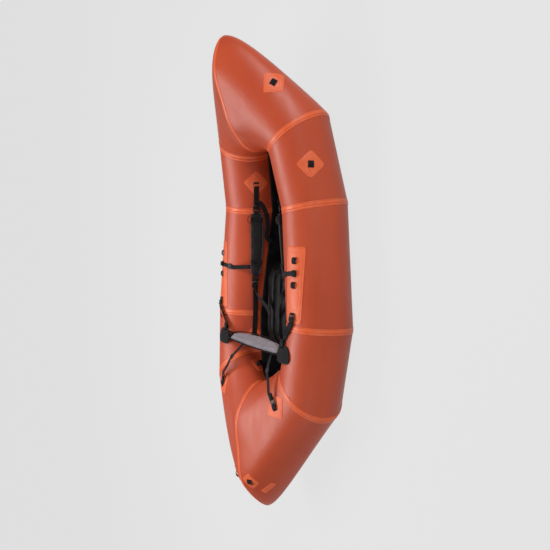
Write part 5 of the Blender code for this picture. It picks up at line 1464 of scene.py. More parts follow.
def padFoam(v):
    # the pad is drawn thinner and swells back to its packed thickness
    start, along, rise, out = thighFrame()
    rows = []
    for k in range(v["rows"] + 1):
        t = k / v["rows"]
        p, half = padPoint(t), padHalf(t) * (1.0 if 0 < k < v["rows"] else v["endShare"])
        section = []
        for j in range(v["around"]):
            c, s, flat = squared(2 * math.pi * j / v["around"], v["square"])
            section.append(p + rise * half * c * flat + out * v["thick"] / 2 * v["shrink"] * s * flat)
        rows.append(section)
    piece = closedOut(gridPiece("thigh_foam_pad_s", rows, "pad", closedCols=True, caps=True))
    inflated(piece, v["cap"], v["pressure"], v["voxel"])
    # sewn-down border
    co = gathered(piece.data.vertices, "co")
    t = np.clip(((co - start) @ along - v["ahead"]) / v["long"], 0.0, 1.0)
    centre = np.array([padPoint(x) for x in t])
    half = np.array([padHalf(x) for x in t])
    border = np.minimum(half - np.abs((co - centre) @ rise), np.minimum(t, 1 - t) * v["long"])
    deep, wide = v["pinch"]
    pinch = deep * np.exp(-((border - v["border"]) / wide) ** 2)
    setPoints(piece, co - out * (np.sign((co - centre) @ out) * pinch)[:, None])
    for pad in settleBoth(piece, "thigh_swing_s", "pad_fabric", ["thigh_pad_s"]):
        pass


def thighPad(v):
    padFoam(v)
    _, along, rise, out = thighFrame()
    # binding round the edge, then a thread line
    edge, inner = [], []
    for side in (1, -1):
        for t in np.linspace(0.01, 0.99, 60)[::side]:
            edge.append(padPoint(t) + rise * side * (padHalf(t) - v["bindingIn"]))
            off = out * (v["thick"] / 2 + v["threadOff"])
            inner.append(padPoint(t) + rise * side * (padHalf(t) - v["border"]) + off)
    settleBoth(bound("thigh_pad_binding_s", edge, True, v["bindingR"], "binding"), "thigh_swing_s", "pad_fabric")
    settleBoth(stitches("thigh_pad_stitches_s", [(inner, True)]), "thigh_swing_s", "webbing")
    # keeper bands across the pad, webbing
    for k, t in enumerate(v["bandsAt"]):
        p, half, band = padPoint(t), padHalf(t), []
        for a in np.linspace(0, 2 * math.pi, 41)[:-1]:
            flat = min(1.0, v["bandFlat"] * abs(math.sin(a)) ** v["bandPower"])
            deep = (v["thick"] / 2 + v["bandOff"]) * flat
            band.append(p + rise * half * math.cos(a) * v["bandReach"] + out * np.sign(math.sin(a)) * deep)
        rows = [[q + along * offset for q in band] for offset in (-v["bandHalf"], v["bandHalf"])]
        piece = gridPiece(f"thigh_pad_band_{k + 1}_s", np.array(rows), "webbing", closedCols=True)
        centre = np.array(band).mean(axis=0)
        faceAlong(piece, lambda c: c - centre)
        walled(piece, v["bandThick"], 1.0)
        settleBoth(piece, "thigh_swing_s", "webbing")
    # flat buckle of the side strap on the lower band, and a small loop by the front end
    flat = matrixOf(along, rise, np.cross(along, rise), padPoint(v["buckleAt"]))
    for side, sign in (("in", 1), ("out", -1)):
        off = Matrix.Translation((0, 0, sign * (v["thick"] / 2 + v["buckleOff"])))
        glide = triGlide(f"thigh_pad_buckle_{side}_s", flat @ off, wide=v["wide"] * v["buckleShare"],
                         long=v["buckleLong"], slotWide=v["wide"] * v["buckleSlotShare"])
        settleBoth(glide, "thigh_swing_s", "moulded_plastic")
    p, half = padPoint(v["loopAt"]), padHalf(v["loopAt"])
    clear, high, long = v["loop"]
    arc = [p + rise * (half + clear + high * math.sin(a)) - along * long * math.cos(a)
           for a in np.linspace(0.0, math.pi, 15)]
    settleBoth(strap("thigh_pad_loop_s", arc, out, v["loopWide"], v["loopThick"]), "thigh_swing_s", "webbing")
    # tabs into the two ladder locks
    locks = thighLock(), thighLock(False)
    for name, matrix in zip(("thigh_front_tab_s", "thigh_rear_tab_s"), locks):
        path, across = tabPath(matrix)
        settleBoth(strap(name, path, across, v["webbing"]), "thigh_swing_s", "webbing")
    for name, matrix, nodes in zip(("thigh_front_lock_s", "thigh_rear_lock_s"), locks, (["thigh_buckle_s"], [])):
        settleBoth(ladderLock(name, matrix), "thigh_swing_s", "moulded_plastic", nodes)


thighPad(padValues)
print("thigh pads made")


ringValues = {"wide": 0.031, "deep": 0.020, "corner": 0.005}


def thighRing(v):
    start, along, rise, _ = thighFrame()
    matrix = matrixOf(-along, rise, np.cross(-along, rise), start)
    outline = roundedBox(-v["deep"], 0.0, v["wide"] + 2 * wireR, v["corner"], 8)
    pts = [np.array(matrix @ Vector((x, y, 0))) for x, y in outline]
    settleBoth(bound("thigh_wire_ring_s", pts, True, wireR, "steel"), "ring_s", "steel_wire", ["thigh_ring_s"])


thighRing(ringValues)

webValues = {
    "tail": 0.22, "turnBack": 0.030, "loopHalf": 0.009, "hold": 0.006, "rearTurn": 0.0025, "sag": 0.0025,
    "rearSag": 0.004, "swayed": 0.35, "bendFrom": 0.012, "bendTo": 0.045, "rearFrom": 0.02, "rearTo": 0.05,
    "rearTail": ((-0.018, -0.006, 0.010), (-0.045, -0.030, 0.012), (-0.080, -0.070, 0.002),
                 (-0.115, -0.105, -0.012), (-0.148, -0.126, -0.016)),
    "tailShares": ((-0.06, 0.0, 0.03), (-0.06, 0.05, 0.10), (0.06, 0.16, 0.15), (0.27, 0.25, 0.16),
                   (0.50, 0.28, 0.14), (0.72, 0.26, 0.10), (0.88, 0.40, 0.06)),
    "sideFrom": 0.552, "sideTo": 0.541, "sideLift": 0.0014, "sideTurn": 0.0042, "sidePhi": math.radians(118),
    "sideEnd": math.radians(91), "sideIn": 0.012, "sideGap": 0.002,
    "glideAt": (0.6, 0.4, 0.55, 0.45),
}


def crossing(piece, first, second, start, end, nodes=()):
    # the starboard piece and its port twin, baked where they lie, with the imported pieces they replace hidden
    twin = portTwin(piece)
    for each, flip, rename in ((piece, np.ones(3), str), (twin, mirror, other)):
        rename(first)
        rename(second)
        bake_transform(each)
        if nodes:
            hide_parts(*[rename(n) for n in nodes])


def leaned(first, second, shares):
    # directions that turn from one to another
    return [first * (1 - s) + second * s for s in shares]


def frontWeb(v):
    gap, thick = hullValues["weldGap"], loopValues["thick"]
    start, along, rise, out = thighFrame()
    bar = start + along * ringValues["deep"]
    wrap = wireR + 2 * gap + thick / 2
    path = [bar + along * v["turnBack"] - out * wrap] + turnRound(bar, -along, out, wrap, -90, 90, 11)
    woven = smoothPath(weave(thighLock(), strapFar), 3)
    middle = [path[-1] * (1 - t) + woven[0] * t - out * v["sag"] * math.sin(math.pi * t)
              for t in (0.15, 0.3, 0.45, 0.6, 0.75, 0.9)]
    last = woven[-1]
    tail = [last + v["tail"] * (along * a - upward * drop + out * inward) for a, drop, inward in v["tailShares"]]
    tail = smoothPath([woven[-2], last] + tail, 8)[9:]
    swayed = [rise + out * v["swayed"] * math.sin(2.6 * k / (len(tail) - 1)) for k in range(len(tail))]
    whole = path + middle + woven + tail
    sides = [rise] * (len(whole) - len(tail)) + swayed
    piece = strap("thigh_front_strap_s", whole, sides, padValues["webbing"])
    crossing(piece, "hull", "thigh_swing_s", bar + along * v["bendFrom"], padPoint(0.0) - along * v["bendTo"],
             ["thigh_front_web_s"])


def rearWeb(v):
    gap, thick = hullValues["weldGap"], loopValues["thick"]
    _, along, rise, _ = thighFrame()
    rear = Place(placeValues["thighRear"])
    low = patchTop + gap + thick / 2 + gap
    hold = rear.at(v["loopHalf"] + v["hold"], 0.0, low)
    centre = rear.at(-v["loopHalf"], 0.0, low + v["rearTurn"])
    path = [hold] + turnRound(centre, -rear.ahead, rear.out, v["rearTurn"], -90, 90, 11)
    path += [path[-1] + rear.ahead * (2 * v["loopHalf"] + v["hold"])]
    woven = smoothPath(weave(thighLock(False), strapFar), 3)
    shares = np.linspace(0, 1, 12)[1:-1]
    middle = [path[0] * (1 - t) + woven[0] * t - upward * v["rearSag"] * math.sin(math.pi * t) for t in shares]
    across = rear.across if rear.across[2] > 0 else -rear.across
    loose = [woven[-1] + np.array(p) * mirror for p in v["rearTail"]]
    loose = smoothPath([woven[-2], woven[-1]] + loose, 7)[8:]
    level = unit(np.cross(loose[-1] - loose[0], upward))
    level = level if level @ rise < 0.3 else -level
    sides = [across] * len(path) + leaned(across, rise, shares) + [rise] * len(woven)
    sides += leaned(rise, level, np.clip(np.linspace(0, 1.6, len(loose)), 0, 1))
    piece = strap("thigh_rear_strap_s", path[::-1] + middle + woven + loose, sides, padValues["webbing"])
    crossing(piece, "hull", "thigh_swing_s", rear.at(v["loopHalf"] + v["rearFrom"], 0.0, low),
             padPoint(1.0) + along * v["rearTo"], ["thigh_rear_web_s"])


frontWeb(webValues)
rearWeb(webValues)


def sideStrap(v):
    gap, thick = hullValues["weldGap"], loopValues["thick"]
    place = Place(placeValues["side"])
    rise = thighFrame()[2]
    shares = padValues["shares"]
    t = (len(shares) - 2) / (len(shares) - 1)
    root = padPoint(t) + rise * (padValues["wide"] * shares[-2] / 2 + v["sideLift"])
    loopX = loopValues["sideLoops"][1]
    low = patchTop + gap + thick / 2 + gap

    def overTube(u, phi):
        return skin("mid", u, phi) + (patchTop + thick / 2 + v["sideLift"]) * skinNormal("mid", u, phi)

    path = [root] + [overTube((1 - s) * v["sideFrom"] + s * v["sideTo"], (1 - s) * v["sidePhi"] + s * v["sideEnd"])
                     for s in (0, 1 / 3, 2 / 3, 1)]
    path.append(place.at(loopX, loopValues["width"] / 2 + v["sideGap"], low))
    path = smoothPath(path, 4)
    centre = place.at(loopX, -loopValues["width"] / 2, low + v["sideTurn"])
    path += turnRound(centre, -place.across, place.out, v["sideTurn"], -90, 90, 11)
    path.append(path[-1] + place.across * (loopValues["width"] + v["sideIn"]))
    piece = strap("thigh_side_web_s", path, place.ahead, padValues["narrow"])
    # the web runs from the pad's edge, where the swing's axis runs, over the tube, and is kept as one baked piece
    crossing(piece, "hull", "thigh_swing_s", path[1], root, ["thigh_side_strap_s"])
    # tri-glide on the strap, near the tube's crown
    a, b, c, d = v["glideAt"]
    u, phi = v["sideFrom"] * a + v["sideTo"] * b, v["sidePhi"] * c + v["sideEnd"] * d
    out, run = skinNormal("mid", u, phi), unit(path[7] - path[10])
    glide = triGlide("side_strap_glide_s", matrixOf(run, np.cross(out, run), out, overTube(u, phi)))
    settleBoth(glide, "hull", "moulded_plastic")


sideStrap(webValues)
print("thigh straps made")


# Backband

bandValues = {
    "topX": -0.326, "topZ": 0.314, "sweep": 0.008, "endRise": 0.004,
    "stations": ((0.0, 0.078, 0.026, 40), (0.08, 0.076, 0.026, 40), (0.16, 0.067, 0.025, 41),
                 (0.21, 0.056, 0.021, 42), (0.245, 0.040, 0.012, 45)),
    "foamHalf": 0.246, "foamRows": 61, "foamAround": 28, "shrink": 0.90, "square": 4, "cap": 0.0045,
    "pressure": 4.0, "voxel": 0.004, "fill": 0.75,
    "faceHalf": 0.238, "faceRows": 96, "faceWide": 22, "faceIn": 0.0035, "faceShort": 0.0085, "faceOff": 0.0011,
    "faceThick": 0.0008, "crease": 0.0011, "creaseLow": -0.0006, "hemIn": 3, "hemOff": 0.0005, "hemTilt": 40,
    "bindings": (("lower", 1.0, 0.001), ("upper", 0.0, -0.0005)), "bindingHalf": 0.242, "bindingIn": 0.003,
    "bindingR": 0.0026,
    "wings": ((0.262, 0.070), (0.285, 0.080), (0.315, 0.082), (0.340, 0.074), (0.356, 0.046)),
    "wingX": -0.354, "wingThick": 0.005, "wingClear": 0.0015, "wingRecline": 86.5, "wingVoxel": 0.0019,
    "wingEdge": 0.0012, "neck": (0.238, 0.272), "neckEase": (0.5, 6), "slotWide": 0.029, "slotCorner": 0.002,
    "slotLong": 0.008, "slotY": 0.290, "barEase": 0.0006, "wingBar": 0.005,
    "outline": ((0.255, 0.006), (0.275, 0.0), (0.310, 0.0), (0.336, 0.002), (0.350, 0.010), (0.356, 0.026),
                (0.354, 0.044), (0.347, 0.062), (0.336, 0.075), (0.320, 0.0810), (0.305, 0.0814),
                (0.290, 0.0814), (0.276, 0.0814), (0.2645, 0.0788), (0.256, 0.064), (0.252, 0.034)),
    "seamIn": 0.006, "seamFrom": 0.268, "seamGap": (0.07, 0.322),
    "turnR": 0.0046, "turnBack": 0.030, "leadShare": 0.6, "tail": 0.075, "tailTwist": 0.5,
    "tailShares": ((0.35, 0.05, 0.06), (0.70, 0.12, 0.10), (1.0, 0.18, 0.06)),
    "rearY": 0.145, "rearHalf": 0.245, "rearRecline": 41, "rearHigh": 0.067, "rearThick": 0.026, "rearClear": 0.0010,
    "rearOn": (0.026, 0.052), "rearBend": 0.15, "rayFrom": 0.05, "flatEdge": 0.35, "threadOff": 0.0002,
    "creaseWaves": ((60, 150, 0.0), (34, -70, 1.0)),
}


def bandAxes(recline):
    t = math.radians(recline)
    return np.array([-math.sin(t), 0.0, math.cos(t)]), np.array([-math.cos(t), 0.0, -math.sin(t)])


def bandAt(y):
    # smooth station at a distance from the middle: top point, height, thickness, axes
    v = bandValues
    table = np.array(v["stations"])
    ys = table[:, 0]
    high, thick, recline = (np.interp(abs(y), ys, table[:, k]) for k in (1, 2, 3))
    share = abs(y) / ys[-1]
    top = np.array([v["topX"] + v["sweep"] * share ** 2, y, v["topZ"] + v["endRise"] * share ** 4])
    return top, high, thick, bandAxes(recline)


def wingTop():
    v = bandValues
    a, b = tubes["rear"]
    centre, axis = seams[a][0], unit(seams[a][0] - seams[b][0])
    best = 0.0
    for y, _ in v["wings"]:
        w = np.array([v["wingX"], -abs(y), 0.0]) - centre
        w = w - axis * (w @ axis)
        up = upward - axis * axis[2]
        half = (w @ up) / (up @ up)
        best = max(best, -half + math.sqrt(half ** 2 - (w @ w - hullValues["radius"] ** 2) / (up @ up)))
    return best + hullValues["weldGap"] + v["wingClear"] + v["wingThick"]


def wingBar():
    v = bandValues
    high = max(h for _, h in v["wings"])
    rise, back = bandAxes(v["wingRecline"])
    top = np.array([v["wingX"], -v["slotY"], wingTop()])
    return top - rise * (high - v["wingBar"] / 2) + back * v["wingThick"] / 2


def bandFoam(v):
    # foam pad between the wings, swollen by the cloth
    rows = []
    for y in np.linspace(-v["foamHalf"], v["foamHalf"], v["foamRows"]):
        top, high, thick, (rise, back) = bandAt(y)
        centre, section = top - rise * high / 2 + back * thick / 2, []
        for j in range(v["foamAround"]):
            c, s, flat = squared(2 * math.pi * j / v["foamAround"], v["square"])
            section.append(centre + rise * high / 2 * c * flat + back * thick / 2 * v["shrink"] * s * flat)
        rows.append(section)
    pad = closedOut(gridPiece("backband_foam", rows, "seat", closedCols=True, caps=True))
    inflated(pad, v["cap"], v["pressure"], v["voxel"])
    settle(pad, "backband", "seat_fabric", ["backband_pad"])
    return pad


def backband(v):
    pad = bandFoam(v)
    # face cloth laid on the foam, found by rays
    tree = BVHTree.FromObject(pad, bpy.context.evaluated_depsgraph_get())
    count, wide = v["faceRows"], v["faceWide"]
    rows = []
    for k in range(count + 1):
        y = v["faceHalf"] * (2 * k / count - 1)
        top, high, _, (rise, back) = bandAt(y)
        row, depth = [], 0.0
        for j in range(wide + 1):
            a = v["faceIn"] + (high - v["faceShort"]) * j / wide
            base = top - rise * a
            hit = tree.ray_cast(Vector(base - back * v["rayFrom"]), Vector(back))
            depth = (np.array(hit[0]) - base) @ back if hit[0] is not None else depth
            first, second = (math.sin(m * y + n * a + start) for m, n, start in v["creaseWaves"])
            crease = v["crease"] * first * second
            edge = min(j, wide - j, k, count - k)
            lift = (v["faceOff"] + max(crease, v["creaseLow"])) * min(1.0, edge / 2 + v["flatEdge"])
            row.append(base + back * depth - back * lift)
        rows.append(row)
    rows = np.array(rows)
    face = gridPiece("backband_face_cloth", rows, "face")
    faceAlong(face, lambda c: np.array([1.0, 0.0, 1.0]))
    walled(face, v["faceThick"])
    settle(face, "backband", "band_face", ["backband_face"])
    tilt, near = math.radians(v["hemTilt"]), v["hemIn"]
    raised = rows + v["hemOff"] * np.array([math.cos(tilt), 0.0, math.sin(tilt)])
    runs = [(list(raised[near:count - near + 1, j]), False) for j in (wide - 2, wide - 4, 2)]
    runs += [(list(raised[k, 2:wide - 1]), False) for k in (near, count - near)]
    settle(stitches("backband_hem_stitches", runs, "paleThread"), "backband", "band_face")
    # binding round the foam's lower and upper edge
    for name, share, past in v["bindings"]:
        line = []
        for y in np.linspace(-v["bindingHalf"], v["bindingHalf"], 70):
            top, high, _, (rise, back) = bandAt(y)
            line.append(top - rise * (high * share + past) + back * v["bindingIn"])
        settle(bound(f"backband_{name}_binding", line, False, v["bindingR"], "seat"), "backband", "seat_fabric")


backband(bandValues)


def bandNeck(v, sign, side):
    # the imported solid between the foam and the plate, cut out and evened
    def cutOut(work):
        for reach, keep in ((v["neck"][0], -sign), (v["neck"][1], sign)):
            cut = bmesh.ops.bisect_plane(work, geom=list(work.verts) + list(work.edges) + list(work.faces),
                                         plane_co=(0, sign * reach, 0), plane_no=(0, keep, 0), clear_outer=True,
                                         dist=mergeWide)
            bmesh.ops.holes_fill(work, edges=[g for g in cut["geom_cut"] if isinstance(g, bmesh.types.BMEdge)])

    piece = reworked(cadCopy("backband_pad", "backband_neck_" + side, "wing"), cutOut)
    even = piece.modifiers.new("evenMesh", "REMESH")
    even.mode = "VOXEL"
    even.voxel_size = v["wingVoxel"]
    ease = piece.modifiers.new("easedEdge", "SMOOTH")
    ease.factor, ease.iterations = v["neckEase"]
    applied(piece)
    piece.data.shade_smooth()
    settle(piece, "backband", "pad_fabric")


def bandWing(v):
    # a stiffened plate with its webbing slot, at the end of each neck
    for sign, side in ((-1, "s"), (1, "p")):
        bandNeck(v, sign, side)
    rise, _ = bandAxes(v["wingRecline"])
    ahead, across = np.array([0.0, -1.0, 0.0]), -rise
    out = np.cross(ahead, across)
    top = np.array([v["wingX"], 0.0, wingTop()])
    matrix = matrixOf(ahead, across, out, top - out * v["wingThick"] / 2)
    outline = [np.array([a, b, 0.0]) for a, b in v["outline"]]
    smooth = smoothPath(outline + outline[:1], 5)[:-1]
    barEdge = max(h for _, h in v["wings"]) - v["wingBar"]
    slot = [(v["slotY"] + y, x) for x, y in roundedBox(barEdge - v["slotLong"], barEdge + v["barEase"],
                                                       v["slotWide"], v["slotCorner"])]
    plate = moulding("backband_wing_s", [[(p[0], p[1]) for p in smooth], slot], v["wingThick"], v["wingEdge"], "wing")
    settleBoth(placed(plate, matrix), "backband", "pad_fabric")
    # a thread line inside the border, left out where the bar is
    inside, border = np.mean(outline, axis=0), []
    barHigh, barOut = v["seamGap"]
    for p in smooth:
        if p[0] > v["seamFrom"] and not (p[1] > barHigh and p[0] < barOut):
            sunk = p + unit(inside - p) * v["seamIn"] + upward * (v["wingThick"] / 2 + v["threadOff"])
            border.append(np.array(matrix @ Vector(tuple(sunk))))
    settleBoth(stitches("backband_wing_stitches_s", [(border, False)]), "backband", "webbing")


bandWing(bandValues)
print("backband made")


def frontStrap(v):
    bar = wingBar()
    ahead, across = np.array([1.0, 0.0, 0.0]), np.array([0.0, 1.0, 0.0])
    lock, place = sideLock(), Place(placeValues["side"])
    woven = weave(lock, strapFar)
    turn = turnRound(bar, -ahead, upward, v["turnR"], 90, -90, 13)
    first = turn[0] + ahead * v["turnBack"]
    lead = turn[-1] + ahead * v["turnBack"] * v["leadShare"]
    course = unit(lead - woven[-1])
    tail = [woven[-1] + v["tail"] * (course * a + upward * b - across * c) for a, b, c in v["tailShares"]]
    # the strap runs straight past the bar, so that the wing never cuts it when the band tilts
    straight = [turn[-1] + ahead * v["turnR"] * k for k in (1, 2)]
    middle = straight + smoothPath([straight[-1], lead, woven[0], woven[1]], 8)[4:16]
    fine = smoothPath(woven, 3)
    tail = smoothPath([woven[-2], woven[-1]] + tail, 6)[7:]
    sides = [across] * (len(turn) + 1) + leaned(across, place.across, np.linspace(0, 1, len(middle)) ** 2)
    sides += [place.across] * len(fine)
    sides += [place.across + upward * v["tailTwist"] * s for s in np.linspace(0, 1, len(tail))]
    piece = strap("band_front_web_s", [first] + turn + middle + fine + tail, sides, padValues["webbing"])
    crossing(piece, "hull", "band_lock_s", middle[len(middle) // 2], woven[0], ["band_front_strap_s"])
    settleBoth(ladderLock("band_lock_buckle_s", lock), "band_lock_s", "moulded_plastic", ["band_buckle_s"])


frontStrap(bandValues)

hookValues = {
    "thick": 0.0035, "wide": 0.031, "corner": 0.008, "span": (-0.0055, 0.0385), "eye": (-0.0015, 0.0165),
    "eyeWide": 0.0215, "eyeCorner": 0.002, "tilt": math.radians(9), "slot": (0.0275, 0.0335), "slotWide": 0.0212,
    "lift": 0.0009, "turnR": 0.0042, "edge": 0.0006, "raisedEdge": 0.0003,
    "gate": (0.0055, 0.0200, 0.0040, 0.0015), "gateThick": 0.0010, "gateIn": 0.0026,
    "boss": (0.0190, 0.0255, 0.0150, 0.0025), "bossThick": 0.0012, "bossOff": 0.0004,
    "slotCorner": 0.0006,
}


def hookMatrix(v):
    place = Place(placeValues["stern"], hookTurn)
    bar = (v["span"][0] + v["eye"][0]) / 2
    ahead = math.cos(v["tilt"]) * place.ahead + math.sin(v["tilt"]) * place.out
    base = place.at(bar, 0.0, patchTop + v["lift"] + v["thick"] / 2) - ahead * bar
    return matrixOf(ahead, place.across, np.cross(ahead, place.across), base)


def snapHook(v):
    matrix = hookMatrix(v)
    outline = roundedBox(*v["span"], v["wide"], v["corner"])
    eye = roundedBox(*v["eye"], v["eyeWide"], v["eyeCorner"])
    slot = roundedBox(*v["slot"], v["slotWide"], v["slotCorner"], 2)
    body = moulding("hook_frame", [outline, eye, slot], v["thick"], v["edge"])
    # raised spring gate on one limb, and a thumb boss
    gate = placed(moulding("hook_gate", [roundedBox(*v["gate"], 4)], v["gateThick"], v["raisedEdge"]),
                  Matrix.Translation((0, v["wide"] / 2 - v["gateIn"], v["thick"] / 2 + v["raisedEdge"])))
    boss = placed(moulding("hook_boss", [roundedBox(*v["boss"], 4)], v["bossThick"], v["raisedEdge"]),
                  Matrix.Translation((0, 0, v["thick"] / 2 + v["bossOff"])))
    piece = placed(together("stern_snap_hook_s", [body, gate, boss]), matrix)
    settleBoth(piece, "hook_s", "moulded_plastic", ["band_hook_s"])
    return matrix


def rearStrap(v, hook):
    ahead, across, out, base = axesOf(snapHook(hook))
    bar = base + ahead * (hook["slot"][1] + hook["span"][1]) / 2
    turn = turnRound(bar, -ahead, out, hook["turnR"], -90, 90, 13)
    first, lead = (end + ahead * v["turnBack"] for end in (turn[0], turn[-1]))
    # where the strap lies on the back of the foam
    top = np.array([v["topX"] + v["sweep"] * (v["rearY"] / v["rearHalf"]) ** 2, -v["rearY"], v["topZ"]])
    rise, back = bandAxes(v["rearRecline"])
    off = v["rearThick"] + hullValues["weldGap"] + loopValues["thick"] / 2 + v["rearClear"]
    low, high = (top + rise * (a - v["rearHigh"]) + back * off for a in v["rearOn"])
    middle = smoothPath([turn[-1], lead] + rearVia[::-1] + [high, low], 8)[8:]
    side = np.array([0.0, 1.0 if across[1] > 0 else -1.0, 0.0])
    path = [first] + turn + middle
    sides = [across] * (len(turn) + 1) + leaned(across, side, np.linspace(0, 1, len(middle)))
    split = len(turn) + 1 + len(middle) // 2
    parting = path[split]
    lower = strap("band_rear_lower_web_s", path[:split + 1], sides[:split + 1], padValues["narrow"])
    crossing(lower, "hull", "hook_s", parting, lead, ["band_rear_strap_s"])
    upper = strap("band_rear_upper_web_s", path[split:], sides[split:], padValues["narrow"])
    crossing(upper, "hull", "backband", parting, high + (parting - high) * v["rearBend"])
    # tri-glide where the two runs meet
    run = unit(path[split + 1] - path[split - 1])
    flat = squareSides(path[split - 1:split + 2], [sides[split]] * 3)[1]
    glide = triGlide("band_rear_glide_s", matrixOf(run, flat, np.cross(run, flat), parting))
    settleBoth(glide, "hull", "moulded_plastic")


rearStrap(bandValues, hookValues)
print("backband straps made")


# Valves

valveValues = {
    "steps": 144, "neck": 0.0195, "high": 0.0200, "wall": 0.0022, "deep": 0.0105, "floorR": 0.004, "cap": 0.0020,
    "clear": 0.0004, "skirt": 0.0065, "ribs": 24, "ribHigh": 0.0007, "round": 0.0006, "spot": (-0.315, -0.096),
    "sharp": 50, "rise": ((0.0199, 0.0036), (0.0195, 0.0060)),
    "foot": ((0.012, 0.0002), (0.0296, 0.0002), (0.030, 0.0006), (0.030, 0.0012), (0.0295, 0.0017), (0.027, 0.0021),
             (0.0215, 0.0024)),
    "middle": 0.0005, "cornerShare": 0.4, "ribSharp": 1.6, "capRound": 0.0006, "dish": 0.0006,
    "dishShares": (0.45, 0.50), "edge": (0.0008, 0.001), "ribInset": (0.0004, 0.0014),
    "seat": {"neck": 0.0085, "flange": 0.0125, "cap": 0.0105, "ribs": 20, "ribHigh": 0.0005, "round": 0.0003,
             "stemIn": 0.002, "foot": (0.0010, 0.0022), "capRound": 0.0004, "dish": 0.0004,
             "dishShares": (0.5, 0.56), "edge": (0.0006, 0.0008), "ribInset": (0.0003, 0.0012)},
}


def softened(profile, radius):
    # eases every corner of a profile
    out = []
    for k, p in enumerate(profile):
        if k in (0, len(profile) - 1):
            out.append(p)
            continue
        here = np.array(p)
        for near in (profile[k - 1], profile[k + 1]):
            step = np.array(near) - here
            far = np.linalg.norm(step)
            out.append(tuple(here + step / far * min(radius, far * valveValues["cornerShare"])))
    return out


def turned(name, profile, point, ribs=0, ribHigh=0.0, ribBand=(0.0, 0.0)):
    # turns a profile of radius and height, with grip ribs over a band of heights
    v = valveValues
    t = 2 * math.pi * np.arange(v["steps"]) / v["steps"]
    rows = []
    for r, z in profile:
        ribbed = ribs and ribBand[0] <= z <= ribBand[1]
        grow = ribHigh * np.clip(np.cos(ribs * t) * v["ribSharp"], 0, 1) if ribbed else 0.0
        rows.append(point((r + grow) * np.cos(t), (r + grow) * np.sin(t), z))
    piece = closedOut(gridPiece(name, rows, "plastic", closedCols=True, caps=True))
    piece.data.set_sharp_from_angle(angle=math.radians(v["sharp"]))
    return piece


def gripCap(name, row, wide, bore, low, top, point):
    # a dished lid with a ribbed skirt, from its middle out and back in
    v = valveValues
    first, last = row["dishShares"]
    across, down = row["edge"]
    dish, under = top - row["dish"], top - v["cap"]
    profile = [(v["middle"], dish), (wide * first, dish), (wide * last, top), (wide - across, top),
               (wide, top - down), (wide, low), (bore, low), (bore, under), (v["middle"], under)]
    ribBand = (low + row["ribInset"][0], top - row["ribInset"][1])
    return turned(name, softened(profile, row["capRound"]), point, row["ribs"], row["ribHigh"], ribBand)


def raftValve(v):
    # turned in the starboard frame and mirrored to port
    place = Place(placeValues["valve"])
    t = 2 * math.pi * np.arange(v["steps"]) / v["steps"]

    def local(x, y, z):
        return place.origin + np.outer(x, place.ahead) + np.outer(y, place.across) + z * place.out

    # the flange follows the cloth, the neck stands upright on it
    rows = [place.onSkin(r * np.cos(t), r * np.sin(t), np.full(len(t), z)) for r, z in v["foot"]]
    inner = v["neck"] - v["wall"]
    neck = v["rise"] + ((v["neck"], v["high"]), (inner, v["high"]), (inner, v["deep"]), (v["floorR"], v["deep"]))
    rows += [local(r * np.cos(t), r * np.sin(t), z) for r, z in softened(neck, v["round"])]
    body = closedOut(gridPiece("valve_body_moulding", rows, "plastic", closedCols=True, caps=True))
    body.data.set_sharp_from_angle(angle=math.radians(v["sharp"]))
    wide = v["neck"] + v["clear"] + v["cap"]
    top = v["high"] + v["clear"] + v["cap"]
    low = top - v["cap"] - v["skirt"]
    cap = gripCap("valve_cap_moulding", v, wide, wide - v["cap"], low, top, local)
    for piece, part, nodeName in ((body, "hull", "valve_body"), (cap, "cap", "valve_cap")):
        piece.data.transform(Matrix.Diagonal((1, -1, 1, 1)))
        piece.data.flip_normals()
        settle(piece, part, "moulded_plastic", [nodeName])


def seatValve(v):
    row = v["seat"]
    foot = float(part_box("seat_valve")[0][2])
    capLow, capTop = (float(p[2]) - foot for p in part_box("seat_valve_cap"))
    neckTop = capTop - v["cap"] - v["clear"]
    bore = row["neck"] + v["clear"] / 2

    def upright(x, y, z):
        return np.stack([v["spot"][0] + x, v["spot"][1] + y, np.full(len(x), foot + z)], axis=1)

    rim, shoulder = row["foot"]
    profile = [(row["stemIn"], 0.0), (row["flange"], 0.0), (row["flange"], rim), (row["neck"], shoulder),
               (row["neck"], neckTop), (row["stemIn"], neckTop)]
    stem = turned("seat_valve_moulding", softened(profile, row["round"]), upright)
    settle(stem, "hull", "moulded_plastic", ["seat_valve"])
    lid = gripCap("seat_cap_moulding", row, row["cap"], bore, capLow, capTop, upright)
    settle(lid, "seat_cap", "moulded_plastic", ["seat_valve_cap"])


raftValve(valveValues)
seatValve(valveValues)
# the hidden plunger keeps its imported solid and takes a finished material
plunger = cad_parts["valve_plunger"].data
plunger.materials.clear()
plunger.materials.append(cloths["plastic"])
print("valves made")


# Light and floor

def emptied(owner):
    owner.use_nodes = True
    owner.node_tree.nodes.clear()
    return owner.node_tree


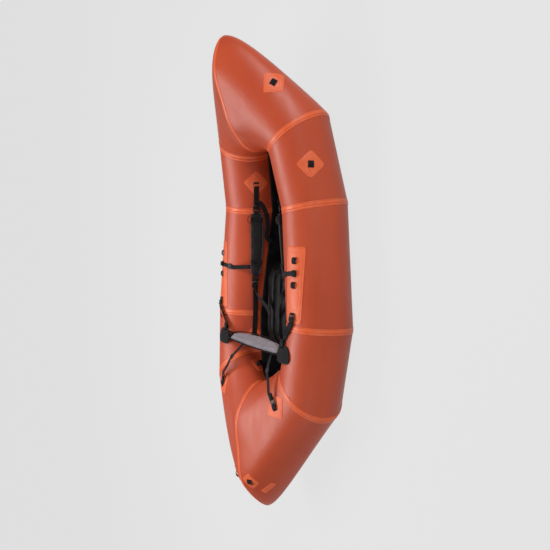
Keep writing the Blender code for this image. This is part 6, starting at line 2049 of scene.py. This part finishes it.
def paper(v):
    made = bpy.data.materials.new("paperSweep")
    tree = emptied(made)
    path = node(tree, "ShaderNodeLightPath")
    seen = sums(tree, "MAXIMUM", path.outputs["Is Camera Ray"], path.outputs["Is Glossy Ray"])
    seen = sums(tree, "MAXIMUM", seen, path.outputs["Is Transmission Ray"])
    glow = node(tree, "ShaderNodeEmission", {"Color": linear(v["paper"]), "Strength": v["glow"]})
    pale, dull = (node(tree, "ShaderNodeBsdfDiffuse", {"Color": (*[grey] * 3, 1.0)}) for grey in v["greys"])
    shown = node(tree, "ShaderNodeAddShader", {0: glow.outputs[0], 1: pale.outputs[0]})
    both = node(tree, "ShaderNodeMixShader", {0: seen, 1: dull.outputs[0], 2: shown.outputs[0]})
    node(tree, "ShaderNodeOutputMaterial", {0: both.outputs[0]})
    return made


def studio(v):
    for name, row in v["lamps"].items():
        data = bpy.data.lights.new(name + "Light", "AREA")
        data.shape = "RECTANGLE"
        data.size, data.size_y = row["size"]
        data.energy = row["watts"]
        lamp = linked(name + "Light", data)
        lamp.location = row["place"]
        lamp.visible_glossy = row["shine"]
        lamp.rotation_mode = "QUATERNION"
        lamp.rotation_quaternion = (Vector(row["aim"]) - Vector(row["place"])).to_track_quat("-Z", "Y")
    world = bpy.data.worlds.new("studioAir")
    scene.world = world
    tree = emptied(world)
    path = node(tree, "ShaderNodeLightPath")
    air = node(tree, "ShaderNodeBackground", {"Color": (1.0, 1.0, 1.0, 1.0), "Strength": v["ambient"]})
    card = node(tree, "ShaderNodeBackground", {"Color": linear(v["paper"]), "Strength": 1.0})
    both = node(tree, "ShaderNodeMixShader", {0: path.outputs["Is Camera Ray"], 1: air.outputs[0],
                                              2: card.outputs[0]})
    node(tree, "ShaderNodeOutputWorld", {0: both.outputs[0]})
    half = v["floorHalf"]
    mesh = bpy.data.meshes.new("paperFloor")
    mesh.from_pydata([(-half, -half, 0), (half, -half, 0), (half, half, 0), (-half, half, 0)], [], [(0, 1, 2, 3)])
    mesh.materials.append(paper(v))
    linked("paperFloor", mesh)
    scene.view_settings.view_transform = "Standard"


studio(lightValues)
print("studio lit")
